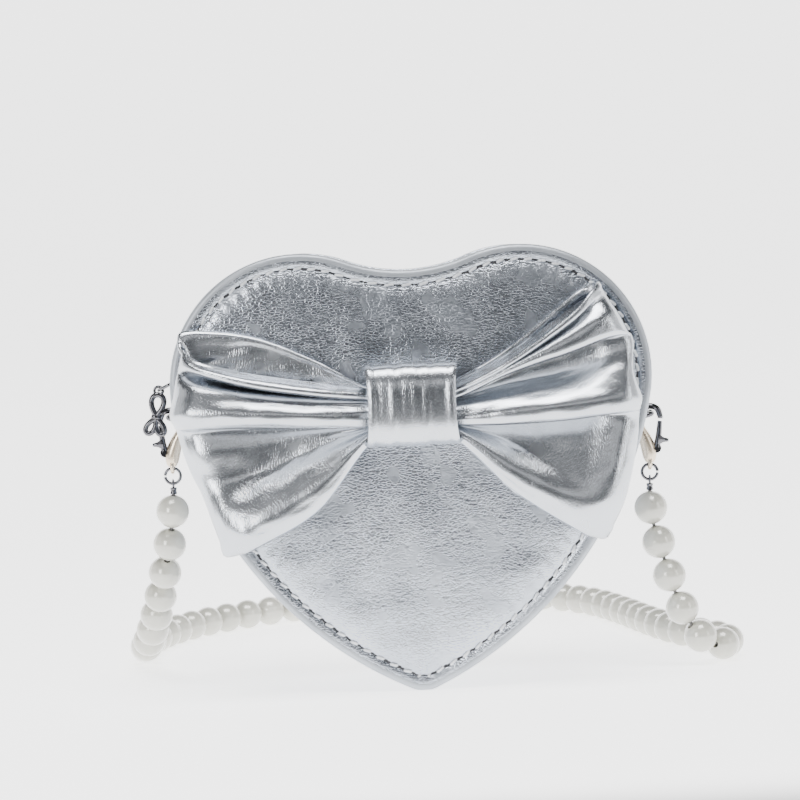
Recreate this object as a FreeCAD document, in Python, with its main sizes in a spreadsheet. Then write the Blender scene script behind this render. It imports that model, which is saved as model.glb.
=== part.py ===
import FreeCAD, Part
import math
import os
import Sketcher
from FreeCAD import Placement, Rotation, Vector

# Heart shaped purse: a padded heart with a zip over the top, a bow on the front
# and a strap of beads clipped on at both sides.
# Front faces -Y, +Z is up. The origin lies on the floor under the tip, midway
# between the front and the back.

doc = FreeCAD.newDocument("heart_purse")
sheet = doc.addObject("Spreadsheet::Sheet", "Size")

DIMENSIONS = [
    # heart outline
    ("lobe_offset", 32.0, "half the distance between the two lobe centres"),
    ("lobe_radius", 38.0, "radius of each lobe"),
    ("lobe_height", 90.5, "height of the lobe centres above the floor"),
    ("side_radius", 116.0, "radius of the long side arcs"),
    ("cleft_radius", 49.0, "radius of the hollow between the lobes"),
    ("tip_radius", 4.0, "rounding on each side of the tip"),
    ("tip_flat", 3.0, "width of the flat that the tip stands on"),
    # shell
    ("bag_depth", 50.0, "front face to back face"),
    ("panel_thickness", 2.4, "leather and foam of a panel"),
    ("gusset_thickness", 1.2, "leather of the gusset and the zip strips"),
    ("flange_width", 5.0, "seam edge that stands out round the gusset"),
    ("board_thickness", 1.2, "stiffener behind a panel"),
    ("board_gap", 0.3, "stiffener edge to the gusset wall"),
    ("lining_thickness", 0.6, "cloth lining"),
    ("layer_gap", 0.1, "air between sewn layers"),
    # zip
    ("zip_end_drop", 5.5, "zip's ends below the lobe centres"),
    ("split_gap", 0.6, "gap between the lower gusset and the zip strips"),
    ("strip_gap", 0.9, "slider to the edge of each zip strip"),
    ("tape_width", 12.0, "width of each zip tape"),
    ("tape_thickness", 0.6, "zip tape"),
    ("coil_gap", 4.6, "distance between the two open rows of the zip"),
    ("coil_width", 2.2, "width of one row"),
    ("coil_height", 1.6, "height of one row on its tape"),
    ("stop_length", 1.2, "length of the end stops along the zip"),
    ("moving_gap", 0.3, "clearance round the moving pieces"),
    # slider and pull
    ("slider_clear", 0.66, "degrees of the lobe between the slider and the zip's left end"),
    ("slider_span", 19.0, "degrees of the lobe that the slider covers"),
    ("slider_plate", 1.2, "thickness of the slider's two plates"),
    ("slider_lip", 0.8, "thickness of the slider's side lips"),
    ("post_span", 6.0, "degrees of the lobe that the slider's post covers"),
    ("bail_radius", 3.0, "radius of the arch on the slider"),
    ("bail_wire", 0.6, "wire radius of the arch"),
    ("link_radius", 3.7, "radius of the pull's link"),
    ("link_wire", 0.5, "wire radius of the link"),
    ("link_angle", 205.0, "direction of the link from the arch, in degrees"),
    ("pull_lean", 8.0, "degrees that the pull leans outward"),
    ("pull_thickness", 1.8, "thickness of the pull"),
    ("pull_eye_radius", 1.7, "outer radius of the pull's eye"),
    ("pull_hole_radius", 0.8, "bore of the pull's eye"),
    ("pull_loop_radius", 2.9, "outer radius of the pull's upper loop"),
    ("pull_tail_radius", 2.3, "outer radius of the pull's two lower loops"),
    ("pull_band", 1.1, "width of the band that the loops are made of"),
    ("pull_tail_spread", 1.2, "sideways offset of the two lower loops"),
    ("pull_knot_radius", 1.5, "radius of the pull's middle knot"),
    # side tabs and rings
    ("tab_thickness", 1.6, "folded tab, two layers"),
    ("tab_length", 14.0, "length of the tab below its fold"),
    ("tab_drop", 5.0, "fold that holds the ring, below the zip's end"),
    ("right_drop", 2.6, "degrees of the side arc that the right tab sits lower than the left one"),
    ("ring_wire", 0.8, "wire radius of the side ring"),
    ("ring_length", 6.78, "side ring, bar to bar across the purse"),
    ("ring_side_gap", 0.6, "tab to the side of the ring"),
    ("ring_rise", 1.8, "outer bar above the fold"),
    ("ring_play", 0.2, "clearance of the ring in the fold"),
    # clasps
    ("clasp_gap", 0.7, "clasp to the zip pull beside it"),
    ("clasp_side_gap", 0.4, "clasp to the side of the ring"),
    ("clasp_thickness", 3.6, "thickness of the clasp"),
    ("hook_inner", 2.1, "inner radius of the hook"),
    ("hook_wire", 1.9, "width of the hook's metal"),
    ("hook_drop", 7.4, "straight part of the hook below its bend"),
    ("hook_tip", 0.8, "length of the hook's free end below its bend"),
    ("hook_play", 0.1, "clearance of the hook on the ring"),
    ("clasp_body_height", 5.4, "height of the clasp's solid part"),
    ("pivot_inset", 2.0, "trigger pin from the clasp's outer side"),
    ("pivot_depth", 2.2, "trigger pin below the top of the solid part"),
    ("pin_radius", 0.6, "trigger pin"),
    ("pin_play", 0.05, "clearance of the pin in the clasp"),
    ("trigger_thickness", 1.6, "thickness of the trigger"),
    ("trigger_hub", 1.5, "radius of the trigger's hub"),
    ("trigger_bar", 1.4, "width of the trigger's bar"),
    ("trigger_play", 0.1, "clearance of the trigger on its pin and at its sides"),
    ("trigger_tip_gap", 0.3, "gap between the trigger and the hook's free end"),
    ("nub_length", 2.3, "thumb nub of the trigger"),
    ("nub_height", 1.4, "height of the nub"),
    ("nub_ball", 0.9, "radius of the ball on the nub"),
    ("spring_length", 0.75, "length of the trigger spring along its pin"),
    ("spring_wall", 0.55, "wall of the trigger spring"),
    ("eye_radius", 1.5, "clasp eye, middle of its wire"),
    ("eye_wire", 0.6, "wire radius of the clasp eye"),
    ("eye_sink", 0.3, "middle of the eye's wire above the lower face of the clasp's solid part"),
    ("jump_radius", 2.3, "jump ring, middle of its wire"),
    ("jump_wire", 0.45, "wire radius of the jump ring"),
    # strap
    ("bead_radius", 5.0, "pearl bead"),
    ("bead_bore", 1.0, "radius of the bead's bore"),
    ("bead_gap", 0.5, "least gap between beads along the string"),
    ("string_radius", 0.5, "string of the strap"),
    ("crimp_radius", 1.0, "radius of the crimp tube"),
    ("crimp_length", 2.1, "length of the crimp tube"),
    ("crimp_loop", 1.1, "radius of the wire loop on the crimp"),
    ("crimp_wire", 0.3, "wire radius of that loop"),
    ("strap_depth", 181.6, "how far the strap lies behind the clasps"),
    ("string_lead", 8.0, "straight string below the right crimp"),
    # bow
    ("knot_height", 84.0, "height of the bow's middle"),
    ("knot_width", 26.0, "knot band across the purse"),
    ("knot_length", 24.0, "knot band top to bottom"),
    ("knot_depth", 18.0, "knot band from the panel to its front"),
    ("knot_rounding", 5.0, "rounding of the knot band"),
    ("band_thickness", 1.6, "leather of the knot band, folded"),
    ("wing_thickness", 1.6, "leather of the loops, folded"),
    ("wing_gap", 0.8, "loops to the front panel"),
    ("wing_end_radius", 7.4, "half depth of a loop at its outer fold"),
    ("neck_radius", 2.2, "half depth of a loop where it is gathered"),
    ("core_width", 4.0, "gathered core between the loops"),
    ("core_depth", 4.0, "depth of the core"),
    ("core_gap", 0.1, "core to loop and to band"),
    ("wing_reach_top", 61.0, "outer fold from the middle, at the loop's top"),
    ("wing_reach", 67.0, "outer fold from the middle, at the knot's height"),
    ("wing_reach_bottom", 54.5, "outer fold from the middle, at the loop's bottom"),
    ("wing_top", 110.0, "height of a loop's upper corner"),
    ("wing_bottom", 42.5, "height of a loop's lower corner"),
    ("neck_gap", 0.8, "loop to the knot band, above and below"),
    ("rivet_radius", 1.5, "rivet that holds the knot band"),
    ("rivet_head", 3.0, "radius of the rivet's two heads"),
    ("rivet_cap", 0.8, "thickness of the rivet's outer head"),
    ("rivet_play", 0.1, "clearance of the rivet in its holes"),
]

FOLLOWING = [
    ("zip_end_height", "lobe_height - zip_end_drop", "height where the zip ends and the lower gusset begins"),
    ("slider_width", "coil_gap + 2 * (coil_width + moving_gap + slider_lip)", "width of the slider"),
    ("zip_slot", "slider_width + 2 * strip_gap", "distance between the edges of the zip strips"),
    ("tab_fold", "zip_end_height - tab_drop", "height of the fold that holds the ring"),
    ("tab_bottom", "tab_fold - tab_length", "height of the tab's lower edge"),
    ("clasp_shift", "pull_thickness / 2 + clasp_gap + clasp_thickness / 2", "clasps behind the middle"),
    ("ring_inside", "2 * (clasp_shift + clasp_thickness / 2 + clasp_side_gap)", "width inside the side ring"),
    ("ring_width", "ring_inside + 2 * ring_wire", "side ring, middle to middle across the gusset"),
    ("tab_width", "ring_inside - 2 * ring_side_gap", "width of the tab across the gusset"),
    ("wing_axis", "wing_end_radius + wing_gap", "loops' middle in front of the panel"),
    ("neck_half", "knot_length / 2 - band_thickness - neck_gap", "half height of a loop inside the knot band"),
]

rows = []


def add_row(alias, content, note):
    """One named line of the sheet, with a value or a formula."""
    rows.append(alias)
    row = len(rows)
    sheet.set(f"A{row}", alias)
    sheet.set(f"B{row}", content)
    sheet.setAlias(f"B{row}", alias)
    sheet.set(f"C{row}", note)


for alias, value, note in DIMENSIONS:
    add_row(alias, str(value), note)
for alias, formula, note in FOLLOWING:
    add_row(alias, "=" + formula, note)
doc.recompute()

nodes = []


def size(alias):
    """Value of one named dimension."""
    return float(sheet.get(alias))


def bind(item, **expressions):
    """Tie properties of an object to expressions of the sheet."""
    for name, text in expressions.items():
        item.setExpression(name, text)


def node(item, label):
    """Name an object as one sub-part of the purse."""
    item.Label = label
    nodes.append(item)
    return item


def extrude(name, profile, start, length, direction=Vector(0, 1, 0)):
    """Solid made by moving a closed outline along a direction."""
    item = doc.addObject("Part::Extrusion", name)
    item.Base = profile
    item.DirMode = "Custom"
    item.Dir = direction
    item.Solid = True
    bind(item, LengthFwd=length)
    axis = "y" if direction.y else "z"
    item.setExpression("Placement.Base." + axis, start)
    return item


def inset(name, outline, distance):
    """Outline moved inward by a distance."""
    item = doc.addObject("Part::Offset2D", name)
    item.Source = outline
    item.Join = "Intersection"
    bind(item, Value="-(" + distance + ")")
    return item


def block(name, low, spans):
    """Box from a low corner with three edge lengths, all expressions."""
    item = doc.addObject("Part::Box", name)
    bind(item, Length=spans[0], Width=spans[1], Height=spans[2])
    for axis, text in zip("xyz", low):
        item.setExpression("Placement.Base." + axis, text)
    return item


def rod(name, radius, length, start, direction):
    """Cylinder from a start point along a direction."""
    item = doc.addObject("Part::Cylinder", name)
    bind(item, Radius=radius, Height=length)
    item.Placement = Placement(Vector(*start), Rotation(Vector(0, 0, 1), Vector(*direction)))
    return item


def wire_ring(name, radius, wire, centre, axis):
    """Round ring of round wire."""
    item = doc.addObject("Part::Torus", name)
    bind(item, Radius1=radius, Radius2=wire)
    item.Placement = Placement(Vector(*centre), Rotation(Vector(0, 0, 1), Vector(*axis)))
    return item


def ball(name, radius, centre):
    item = doc.addObject("Part::Sphere", name)
    bind(item, Radius=radius)
    item.Placement = Placement(Vector(*centre), Rotation())
    return item


def cut(name, base, tool):
    item = doc.addObject("Part::Cut", name)
    item.Base = base
    item.Tool = tool
    return item


def common(name, base, tool):
    item = doc.addObject("Part::Common", name)
    item.Base = base
    item.Tool = tool
    return item


def fuse(name, shapes):
    item = doc.addObject("Part::MultiFuse", name)
    item.Shapes = shapes
    item.Refine = True
    return item


def mirrored(name, source, normal):
    item = doc.addObject("Part::Mirroring", name)
    item.Source = source
    item.Base = Vector(0, 0, 0)
    item.Normal = normal
    return item


def lowered(name, source):
    """The same piece moved down along the right side arc, for the right tab and what hangs on it."""
    item = doc.addObject("Part::Compound", name)
    item.Links = [source]
    item.Placement = right_turn
    return item


def direction_at(degrees):
    """Unit vector in the X-Z plane, counter-clockwise from +X as seen from the front."""
    turn = math.radians(degrees)
    return Vector(math.cos(turn), 0, math.sin(turn))


# Heart outline in the X-Z plane: a flat, two tip arcs, two sides, two lobes and the cleft
def heart_centres():
    """Centres of the right lobe, right tip arc, right side arc and cleft arc."""
    lobe = Vector(size("lobe_offset"), size("lobe_height"), 0)
    tip = Vector(size("tip_flat") / 2, size("tip_radius"), 0)
    to_lobe = size("side_radius") - size("lobe_radius")
    to_tip = size("side_radius") - size("tip_radius")
    along = lobe - tip
    apart = along.Length
    along.normalize()
    across = Vector(-along.y, along.x, 0)
    foot = (to_tip ** 2 - to_lobe ** 2 + apart ** 2) / (2 * apart)
    side = tip + along * foot + across * math.sqrt(to_tip ** 2 - foot ** 2)
    rise = math.sqrt((size("lobe_radius") + size("cleft_radius")) ** 2 - size("lobe_offset") ** 2)
    cleft = Vector(0, size("lobe_height") + rise, 0)
    return lobe, tip, side, cleft


def angle_to(centre, point):
    return math.atan2(point.y - centre.y, point.x - centre.x)


def arc_of(centre, radius, start, end):
    return Part.ArcOfCircle(Part.Circle(centre, Vector(0, 0, 1), radius), start, end)


def flipped(point):
    return Vector(-point.x, point.y, 0)


START, END, MIDDLE = range(1, 4)
UPRIGHT_AXIS, LEVEL_AXIS = range(-2, 0)
ORIGIN = LEVEL_AXIS
XZ_PLANE = Placement(Vector(0, 0, 0), Rotation(Vector(1, 0, 0), 90))

lobe_centre, tip_centre, side_centre, cleft_centre = heart_centres()
lobe_to_cleft = angle_to(lobe_centre, cleft_centre)
side_to_lobe = angle_to(side_centre, lobe_centre)
side_to_tip = angle_to(side_centre, tip_centre)
side_axis = Vector(side_centre.x, 0, side_centre.y)
right_turn = Placement(Vector(0, 0, 0), Rotation(Vector(0, 1, 0), size("right_drop")), side_axis)

heart = doc.addObject("Sketcher::SketchObject", "heart_outline")
heart.Placement = XZ_PLANE
edges = [
    Part.LineSegment(flipped(Vector(tip_centre.x, 0, 0)), Vector(tip_centre.x, 0, 0)),
    arc_of(tip_centre, size("tip_radius"), -math.pi / 2, side_to_tip),
    arc_of(side_centre, size("side_radius"), side_to_tip, side_to_lobe),
    arc_of(lobe_centre, size("lobe_radius"), side_to_lobe, lobe_to_cleft),
    arc_of(cleft_centre, size("cleft_radius"),
           angle_to(cleft_centre, flipped(lobe_centre)), angle_to(cleft_centre, lobe_centre)),
    arc_of(flipped(lobe_centre), size("lobe_radius"), math.pi - lobe_to_cleft, math.pi - side_to_lobe),
    arc_of(flipped(side_centre), size("side_radius"), math.pi - side_to_lobe, math.pi - side_to_tip),
    arc_of(flipped(tip_centre), size("tip_radius"), math.pi - side_to_tip, 3 * math.pi / 2),
]
for edge in edges:
    heart.addGeometry(edge, False)
FLAT, TIP_RIGHT, SIDE_RIGHT, LOBE_RIGHT, CLEFT, LOBE_LEFT, SIDE_LEFT, TIP_LEFT = range(8)


def constrain(sketch, kind, *where):
    return sketch.addConstraint(Sketcher.Constraint(kind, *where))


def dimension(sketch, kind, *where, alias):
    """Driving constraint tied to one cell of the sheet."""
    index = sketch.addConstraint(Sketcher.Constraint(kind, *where, size(alias)))
    sketch.setExpression(f"Constraints[{index}]", "Size." + alias)


for first, first_end, second, second_end in (
        (FLAT, END, TIP_RIGHT, START), (TIP_RIGHT, END, SIDE_RIGHT, START),
        (SIDE_RIGHT, END, LOBE_RIGHT, START), (LOBE_RIGHT, END, CLEFT, END),
        (CLEFT, START, LOBE_LEFT, START), (LOBE_LEFT, END, SIDE_LEFT, START),
        (SIDE_LEFT, END, TIP_LEFT, START), (TIP_LEFT, END, FLAT, START)):
    constrain(heart, "Tangent", first, first_end, second, second_end)
for edge, radius in ((TIP_RIGHT, "tip_radius"), (TIP_LEFT, "tip_radius"), (SIDE_RIGHT, "side_radius"),
                     (SIDE_LEFT, "side_radius"), (LOBE_RIGHT, "lobe_radius"), (LOBE_LEFT, "lobe_radius"),
                     (CLEFT, "cleft_radius")):
    dimension(heart, "Radius", edge, alias=radius)
dimension(heart, "DistanceX", ORIGIN, START, LOBE_RIGHT, MIDDLE, alias="lobe_offset")
dimension(heart, "DistanceX", LOBE_LEFT, MIDDLE, ORIGIN, START, alias="lobe_offset")
dimension(heart, "DistanceY", ORIGIN, START, LOBE_RIGHT, MIDDLE, alias="lobe_height")
dimension(heart, "DistanceY", ORIGIN, START, LOBE_LEFT, MIDDLE, alias="lobe_height")
constrain(heart, "PointOnObject", FLAT, START, LEVEL_AXIS)
constrain(heart, "Symmetric", FLAT, START, FLAT, END, UPRIGHT_AXIS)
dimension(heart, "DistanceX", FLAT, START, FLAT, END, alias="tip_flat")
doc.recompute()


def edge_x(height, depth):
    """Distance from the middle to the heart's side at a height, moved inward by a depth."""
    turn_height = side_centre.y + size("side_radius") * math.sin(side_to_lobe)
    if height > turn_height:
        reach = size("lobe_radius") - depth
        return lobe_centre.x + math.sqrt(reach ** 2 - (height - lobe_centre.y) ** 2)
    reach = size("side_radius") - depth
    return side_centre.x + math.sqrt(reach ** 2 - (height - side_centre.y) ** 2)


# Side ring's outer bar, measured from the tab's fold on the gusset
eye_outer = size("ring_wire") + size("ring_play") + size("tab_thickness") / 2
fold_x = edge_x(size("tab_fold"), size("flange_width") - size("layer_gap") - eye_outer)
add_row("ring_reach", str(fold_x + size("ring_length")), "ring's outer bar from the middle of the purse")
doc.recompute()

# Insets of the heart, from the seam edge inward
WALL_INSET = "(Size.flange_width + Size.gusset_thickness)"
TAPE_INSET = "(" + WALL_INSET + " + Size.layer_gap)"
wall_outer = inset("wall_outer", heart, "Size.flange_width")
wall_inner = inset("wall_inner", heart, WALL_INSET)
board_edge = inset("board_edge", heart, WALL_INSET + " + Size.board_gap")
lining_outer = inset("lining_outer", heart, TAPE_INSET)
lining_inner = inset("lining_inner", heart, TAPE_INSET + " + Size.lining_thickness")
tape_inner = inset("tape_inner", heart, TAPE_INSET + " + Size.tape_thickness")
coil_outer = inset("coil_outer", heart, TAPE_INSET + " - Size.coil_height")
stop_inner = inset("stop_inner", heart, TAPE_INSET + " - Size.moving_gap")
tab_outer = inset("tab_outer", heart, "Size.flange_width - Size.layer_gap - Size.tab_thickness")
tab_inner = inset("tab_inner", heart, "Size.flange_width - Size.layer_gap")

# Distances from the middle plane to the layers of a panel
FACE = "Size.bag_depth / 2"
PANEL_BACK = "(Size.bag_depth / 2 - Size.panel_thickness)"
WALL_HALF = "(" + PANEL_BACK + " - Size.gusset_thickness)"
BOARD_BACK = "(" + PANEL_BACK + " - Size.board_thickness)"
LINING_FACE = "(" + BOARD_BACK + " - Size.lining_thickness)"
COIL_INNER = "(Size.coil_gap / 2)"
COIL_SIDE = "(Size.coil_gap / 2 + Size.coil_width)"


def band(name, outer, inner, start, length):
    """Heart-shaped band between two insets."""
    whole = extrude(name + "_whole", outer, start, length)
    hollow = extrude(name + "_hollow", inner, start, length)
    return cut(name, whole, hollow)


# Spaces that split the heart at the zip's ends
FAR = "(2 * Size.side_radius)"
ZIP_BOTTOM = "(Size.zip_end_height + Size.split_gap)"
COIL_BOTTOM = "(" + ZIP_BOTTOM + " + Size.stop_length + Size.moving_gap)"
SQUARE = ("2 * " + FAR, "2 * " + FAR)
lower_space = block("lower_space", ("-" + FAR, "-" + FAR, "-" + FAR),
                    (*SQUARE, FAR + " + Size.zip_end_height"))
upper_space = block("upper_space", ("-" + FAR, "-" + FAR, ZIP_BOTTOM), (*SQUARE, FAR))
coil_space = block("coil_space", ("-" + FAR, "-" + FAR, COIL_BOTTOM), (*SQUARE, FAR))
right_stop_space = block("right_stop_space", ("0", "-" + FAR, ZIP_BOTTOM),
                         (FAR, "2 * " + FAR, "Size.stop_length"))

# Rivet that holds the bow's knot band to the front panel
KNOT_BACK = "(" + FACE + " + Size.band_thickness)"
rivet_start = (0, -(size("bag_depth") / 2 + size("band_thickness") + size("rivet_cap")), size("knot_height"))
inside_face = size("bag_depth") / 2 - size("panel_thickness") - size("board_thickness")
FORWARD = (0, 1, 0)
RIVET_LENGTH = "Size.rivet_cap + " + KNOT_BACK + " - " + LINING_FACE
shaft = rod("rivet_shaft", "Size.rivet_radius", RIVET_LENGTH, rivet_start, FORWARD)
cap = rod("rivet_outer_head", "Size.rivet_head", "Size.rivet_cap", rivet_start, FORWARD)
head = rod("rivet_inner_head", "Size.rivet_head", "Size.lining_thickness",
           (0, -inside_face, size("knot_height")), FORWARD)
node(fuse("rivet", [shaft, cap, head]), "bow_rivet")


def rivet_hole(name, radius):
    return rod(name, radius + " + Size.rivet_play", RIVET_LENGTH, rivet_start, FORWARD)


# Panels, stiffeners and linings
front_plate = extrude("front_plate", heart, "-" + FACE, "Size.panel_thickness")
node(cut("front_skin", front_plate, rivet_hole("panel_hole", "Size.rivet_radius")), "front_panel")
front_stiffener = extrude("front_stiffener", board_edge, "-" + PANEL_BACK, "Size.board_thickness")
node(cut("front_stiff", front_stiffener, rivet_hole("board_hole", "Size.rivet_radius")), "front_board")
front_cloth = extrude("front_cloth", board_edge, "-" + BOARD_BACK, "Size.lining_thickness")
node(cut("front_inside", front_cloth, rivet_hole("lining_hole", "Size.rivet_head")), "front_lining")
node(extrude("back_skin", heart, PANEL_BACK, "Size.panel_thickness"), "back_panel")
node(extrude("back_stiff", board_edge, BOARD_BACK, "Size.board_thickness"), "back_board")
node(extrude("back_inside", board_edge, LINING_FACE, "Size.lining_thickness"), "back_lining")

# Lower gusset with its two seam flanges, and its lining
gusset_wall = band("gusset_wall", wall_outer, wall_inner, "-" + WALL_HALF, "2 * " + WALL_HALF)
front_flange = band("front_flange", heart, wall_inner, "-" + PANEL_BACK, "Size.gusset_thickness")
back_flange = band("back_flange", heart, wall_inner, WALL_HALF, "Size.gusset_thickness")
gusset_round = fuse("gusset_round", [gusset_wall, front_flange, back_flange])
node(common("gusset", gusset_round, lower_space), "lower_gusset")
LINING_HALF = "(" + LINING_FACE + " - Size.moving_gap)"
lining_round = band("lining_round", lining_outer, lining_inner, "-" + LINING_HALF, "2 * " + LINING_HALF)
node(common("gusset_cloth", lining_round, lower_space), "gusset_lining")

# Zip over the top: a leather strip, a tape and a row of coils on each side
STRIP_LENGTH = "(" + WALL_HALF + " - Size.zip_slot / 2)"
strip_wall = band("strip_wall", wall_outer, wall_inner, "-" + WALL_HALF, STRIP_LENGTH)
strip_round = fuse("strip_round", [strip_wall, front_flange])
front_strip = node(common("front_strip", strip_round, upper_space), "front_zip_strip")
tape_round = band("tape_round", lining_outer, tape_inner,
                  "-(" + COIL_INNER + " + Size.tape_width)", "Size.tape_width")
front_tape = node(common("front_tape", tape_round, upper_space), "front_zip_tape")
coil_round = band("coil_round", coil_outer, lining_outer, "-" + COIL_SIDE, "Size.coil_width")
front_coil = node(common("front_coil", coil_round, coil_space), "front_zip_coil")
ACROSS_Y = Vector(0, 1, 0)
ACROSS_X = Vector(1, 0, 0)
node(mirrored("back_strip", front_strip, ACROSS_Y), "back_zip_strip")
node(mirrored("back_tape", front_tape, ACROSS_Y), "back_zip_tape")
node(mirrored("back_coil", front_coil, ACROSS_Y), "back_zip_coil")
stop_round = band("stop_round", coil_outer, stop_inner, "-" + COIL_SIDE, "2 * " + COIL_SIDE)
right_stop = node(common("right_stop", stop_round, right_stop_space), "right_zip_stop")
node(mirrored("left_stop", right_stop, ACROSS_X), "left_zip_stop")

# Zip slider: plates, lips and post are arcs round the left lobe's centre
TAPE_TOP = "(Size.lobe_radius - " + TAPE_INSET + ")"
CAP_INNER = "(" + TAPE_TOP + " + Size.coil_height + Size.moving_gap)"
CAP_OUTER = "(" + CAP_INNER + " + Size.slider_plate)"
LIP_INNER = "(" + TAPE_TOP + " + Size.moving_gap)"
FOOT_OUTER = "(" + TAPE_TOP + " - Size.tape_thickness - Size.moving_gap)"
FOOT_INNER = "(" + FOOT_OUTER + " - Size.slider_plate)"
LIP_START = "(" + COIL_SIDE + " + Size.moving_gap)"
SLIDER_HALF = "(Size.slider_width / 2)"
POST_HALF = "(" + COIL_INNER + " - Size.moving_gap)"
tape_top = size("lobe_radius") - size("flange_width") - size("gusset_thickness") - size("layer_gap")
coil_bottom = size("zip_end_height") + size("split_gap") + size("stop_length") + size("moving_gap")
zip_end_angle = math.degrees(math.asin((coil_bottom - size("lobe_height")) / tape_top))
LEFTWARD = 180
slider_middle = LEFTWARD - zip_end_angle - size("slider_clear") - size("slider_span") / 2
slider_start = slider_middle - size("slider_span") / 2


def sector(name, outer, inner, high, width, start, span):
    """Arc-shaped block round the left lobe's centre, from a high Y side, over a span of degrees."""
    whole = doc.addObject("Part::Cylinder", name + "_whole")
    hollow = doc.addObject("Part::Cylinder", name + "_hollow")
    bind(whole, Radius=outer, Height=width, Angle=span)
    bind(hollow, Radius=inner, Height=width)
    turn = Rotation(Vector(1, 0, 0), 90).multiply(Rotation(Vector(0, 0, 1), start))
    for part in (whole, hollow):
        part.Placement = Placement(Vector(-lobe_centre.x, 0, lobe_centre.y), turn)
        part.setExpression("Placement.Base.y", high)
    return cut(name, whole, hollow)


slider_cap = sector("slider_cap", CAP_OUTER, CAP_INNER, SLIDER_HALF, "2 * " + SLIDER_HALF,
                    slider_start, "Size.slider_span")
front_lip = sector("front_lip", CAP_OUTER, LIP_INNER, "-" + LIP_START, "Size.slider_lip",
                   slider_start, "Size.slider_span")
back_lip = sector("back_lip", CAP_OUTER, LIP_INNER, SLIDER_HALF, "Size.slider_lip",
                  slider_start, "Size.slider_span")
slider_post = sector("slider_post", CAP_OUTER, FOOT_INNER, POST_HALF, "2 * " + POST_HALF,
                     slider_start, "Size.post_span")
slider_foot = sector("slider_foot", FOOT_OUTER, FOOT_INNER, SLIDER_HALF, "2 * " + SLIDER_HALF,
                     slider_start, "Size.slider_span")
doc.recompute()
cap_radius = doc.getObject("slider_cap_whole").Radius.Value
lobe_axis = Vector(-lobe_centre.x, 0, lobe_centre.y)
bail = doc.addObject("Part::Torus", "slider_bail")
bind(bail, Radius1="Size.bail_radius", Radius2="Size.bail_wire")
bail.Angle3 = 180
bail_turn = Rotation(Vector(1, 0, 0), 90).multiply(Rotation(Vector(0, 0, 1), slider_middle - 90))
bail_centre = lobe_axis + direction_at(slider_middle) * (cap_radius - size("bail_wire") / 2)
bail.Placement = Placement(bail_centre, bail_turn)
node(fuse("slider", [slider_cap, front_lip, back_lip, slider_post, slider_foot, bail]), "zip_slider")

# Link and bow-shaped pull, hanging outside the left ring
bail_top = cap_radius - size("bail_wire") / 2 + size("bail_radius") - size("bail_wire")
pull_pivot = lobe_axis + direction_at(slider_middle) * (bail_top - size("link_wire") - size("layer_gap"))
link_way = direction_at(size("link_angle"))
link_centre = pull_pivot + link_way * size("link_radius")
link_axis = link_way.cross(Vector(0, 1, 0))
node(wire_ring("link", "Size.link_radius", "Size.link_wire", link_centre, link_axis), "zip_pull_link")
pull_way = direction_at(270 - size("pull_lean"))
pull_side = direction_at(360 - size("pull_lean"))
pull_eye = (pull_pivot + link_way * (2 * size("link_radius"))
            + pull_way * (size("pull_hole_radius") - size("link_wire") - size("layer_gap")))
half_band = size("pull_band") / 2
pull_loop = pull_eye + pull_way * (size("pull_eye_radius") + size("pull_loop_radius") - half_band)
pull_knot = pull_loop + pull_way * (size("pull_loop_radius") + size("pull_knot_radius") - half_band)
pull_tail = pull_knot + pull_way * (size("pull_knot_radius") + size("pull_tail_radius") - half_band)
pull_front = Vector(0, -size("pull_thickness") / 2, 0)


def disc(name, radius, centre):
    return rod(name, radius, "Size.pull_thickness", centre + pull_front, FORWARD)


def loop(name, outer, inner, centre):
    return cut(name, disc(name + "_outer", outer, centre), disc(name + "_inner", inner, centre))


pull_pieces = [
    loop("pull_eye", "Size.pull_eye_radius", "Size.pull_hole_radius", pull_eye),
    loop("pull_loop", "Size.pull_loop_radius", "Size.pull_loop_radius - Size.pull_band", pull_loop),
    disc("pull_knot", "Size.pull_knot_radius", pull_knot),
]
for name, way in (("pull_tail_one", 1), ("pull_tail_two", -1)):
    centre = pull_tail + pull_side * (way * size("pull_tail_spread"))
    pull_pieces.append(loop(name, "Size.pull_tail_radius", "Size.pull_tail_radius - Size.pull_band", centre))
node(fuse("pull", pull_pieces), "zip_pull_bow")

# Right side tab: a folded strip on the gusset with a round eye for the ring
tab_round = band("tab_round", tab_outer, tab_inner, "-Size.tab_width / 2", "Size.tab_width")
right_tab_space = block("right_tab_space", ("0", "-" + FAR, "Size.tab_bottom"),
                        (FAR, "2 * " + FAR, "Size.tab_fold - Size.tab_bottom"))
tab_strip = common("tab_strip", tab_round, right_tab_space)
fold = (fold_x, -size("tab_width") / 2, size("tab_fold"))
EYE_BORE = "(Size.ring_wire + Size.ring_play)"
tab_eye = rod("tab_eye", EYE_BORE + " + Size.tab_thickness / 2", "Size.tab_width", fold, FORWARD)
tab_bore = rod("tab_bore", EYE_BORE, "Size.tab_width", fold, FORWARD)
tab = cut("tab", fuse("tab_body", [tab_strip, tab_eye]), tab_bore)
node(lowered("tab_right", tab), "right_tab")
node(mirrored("tab_left", tab, ACROSS_X), "left_tab")

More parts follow.
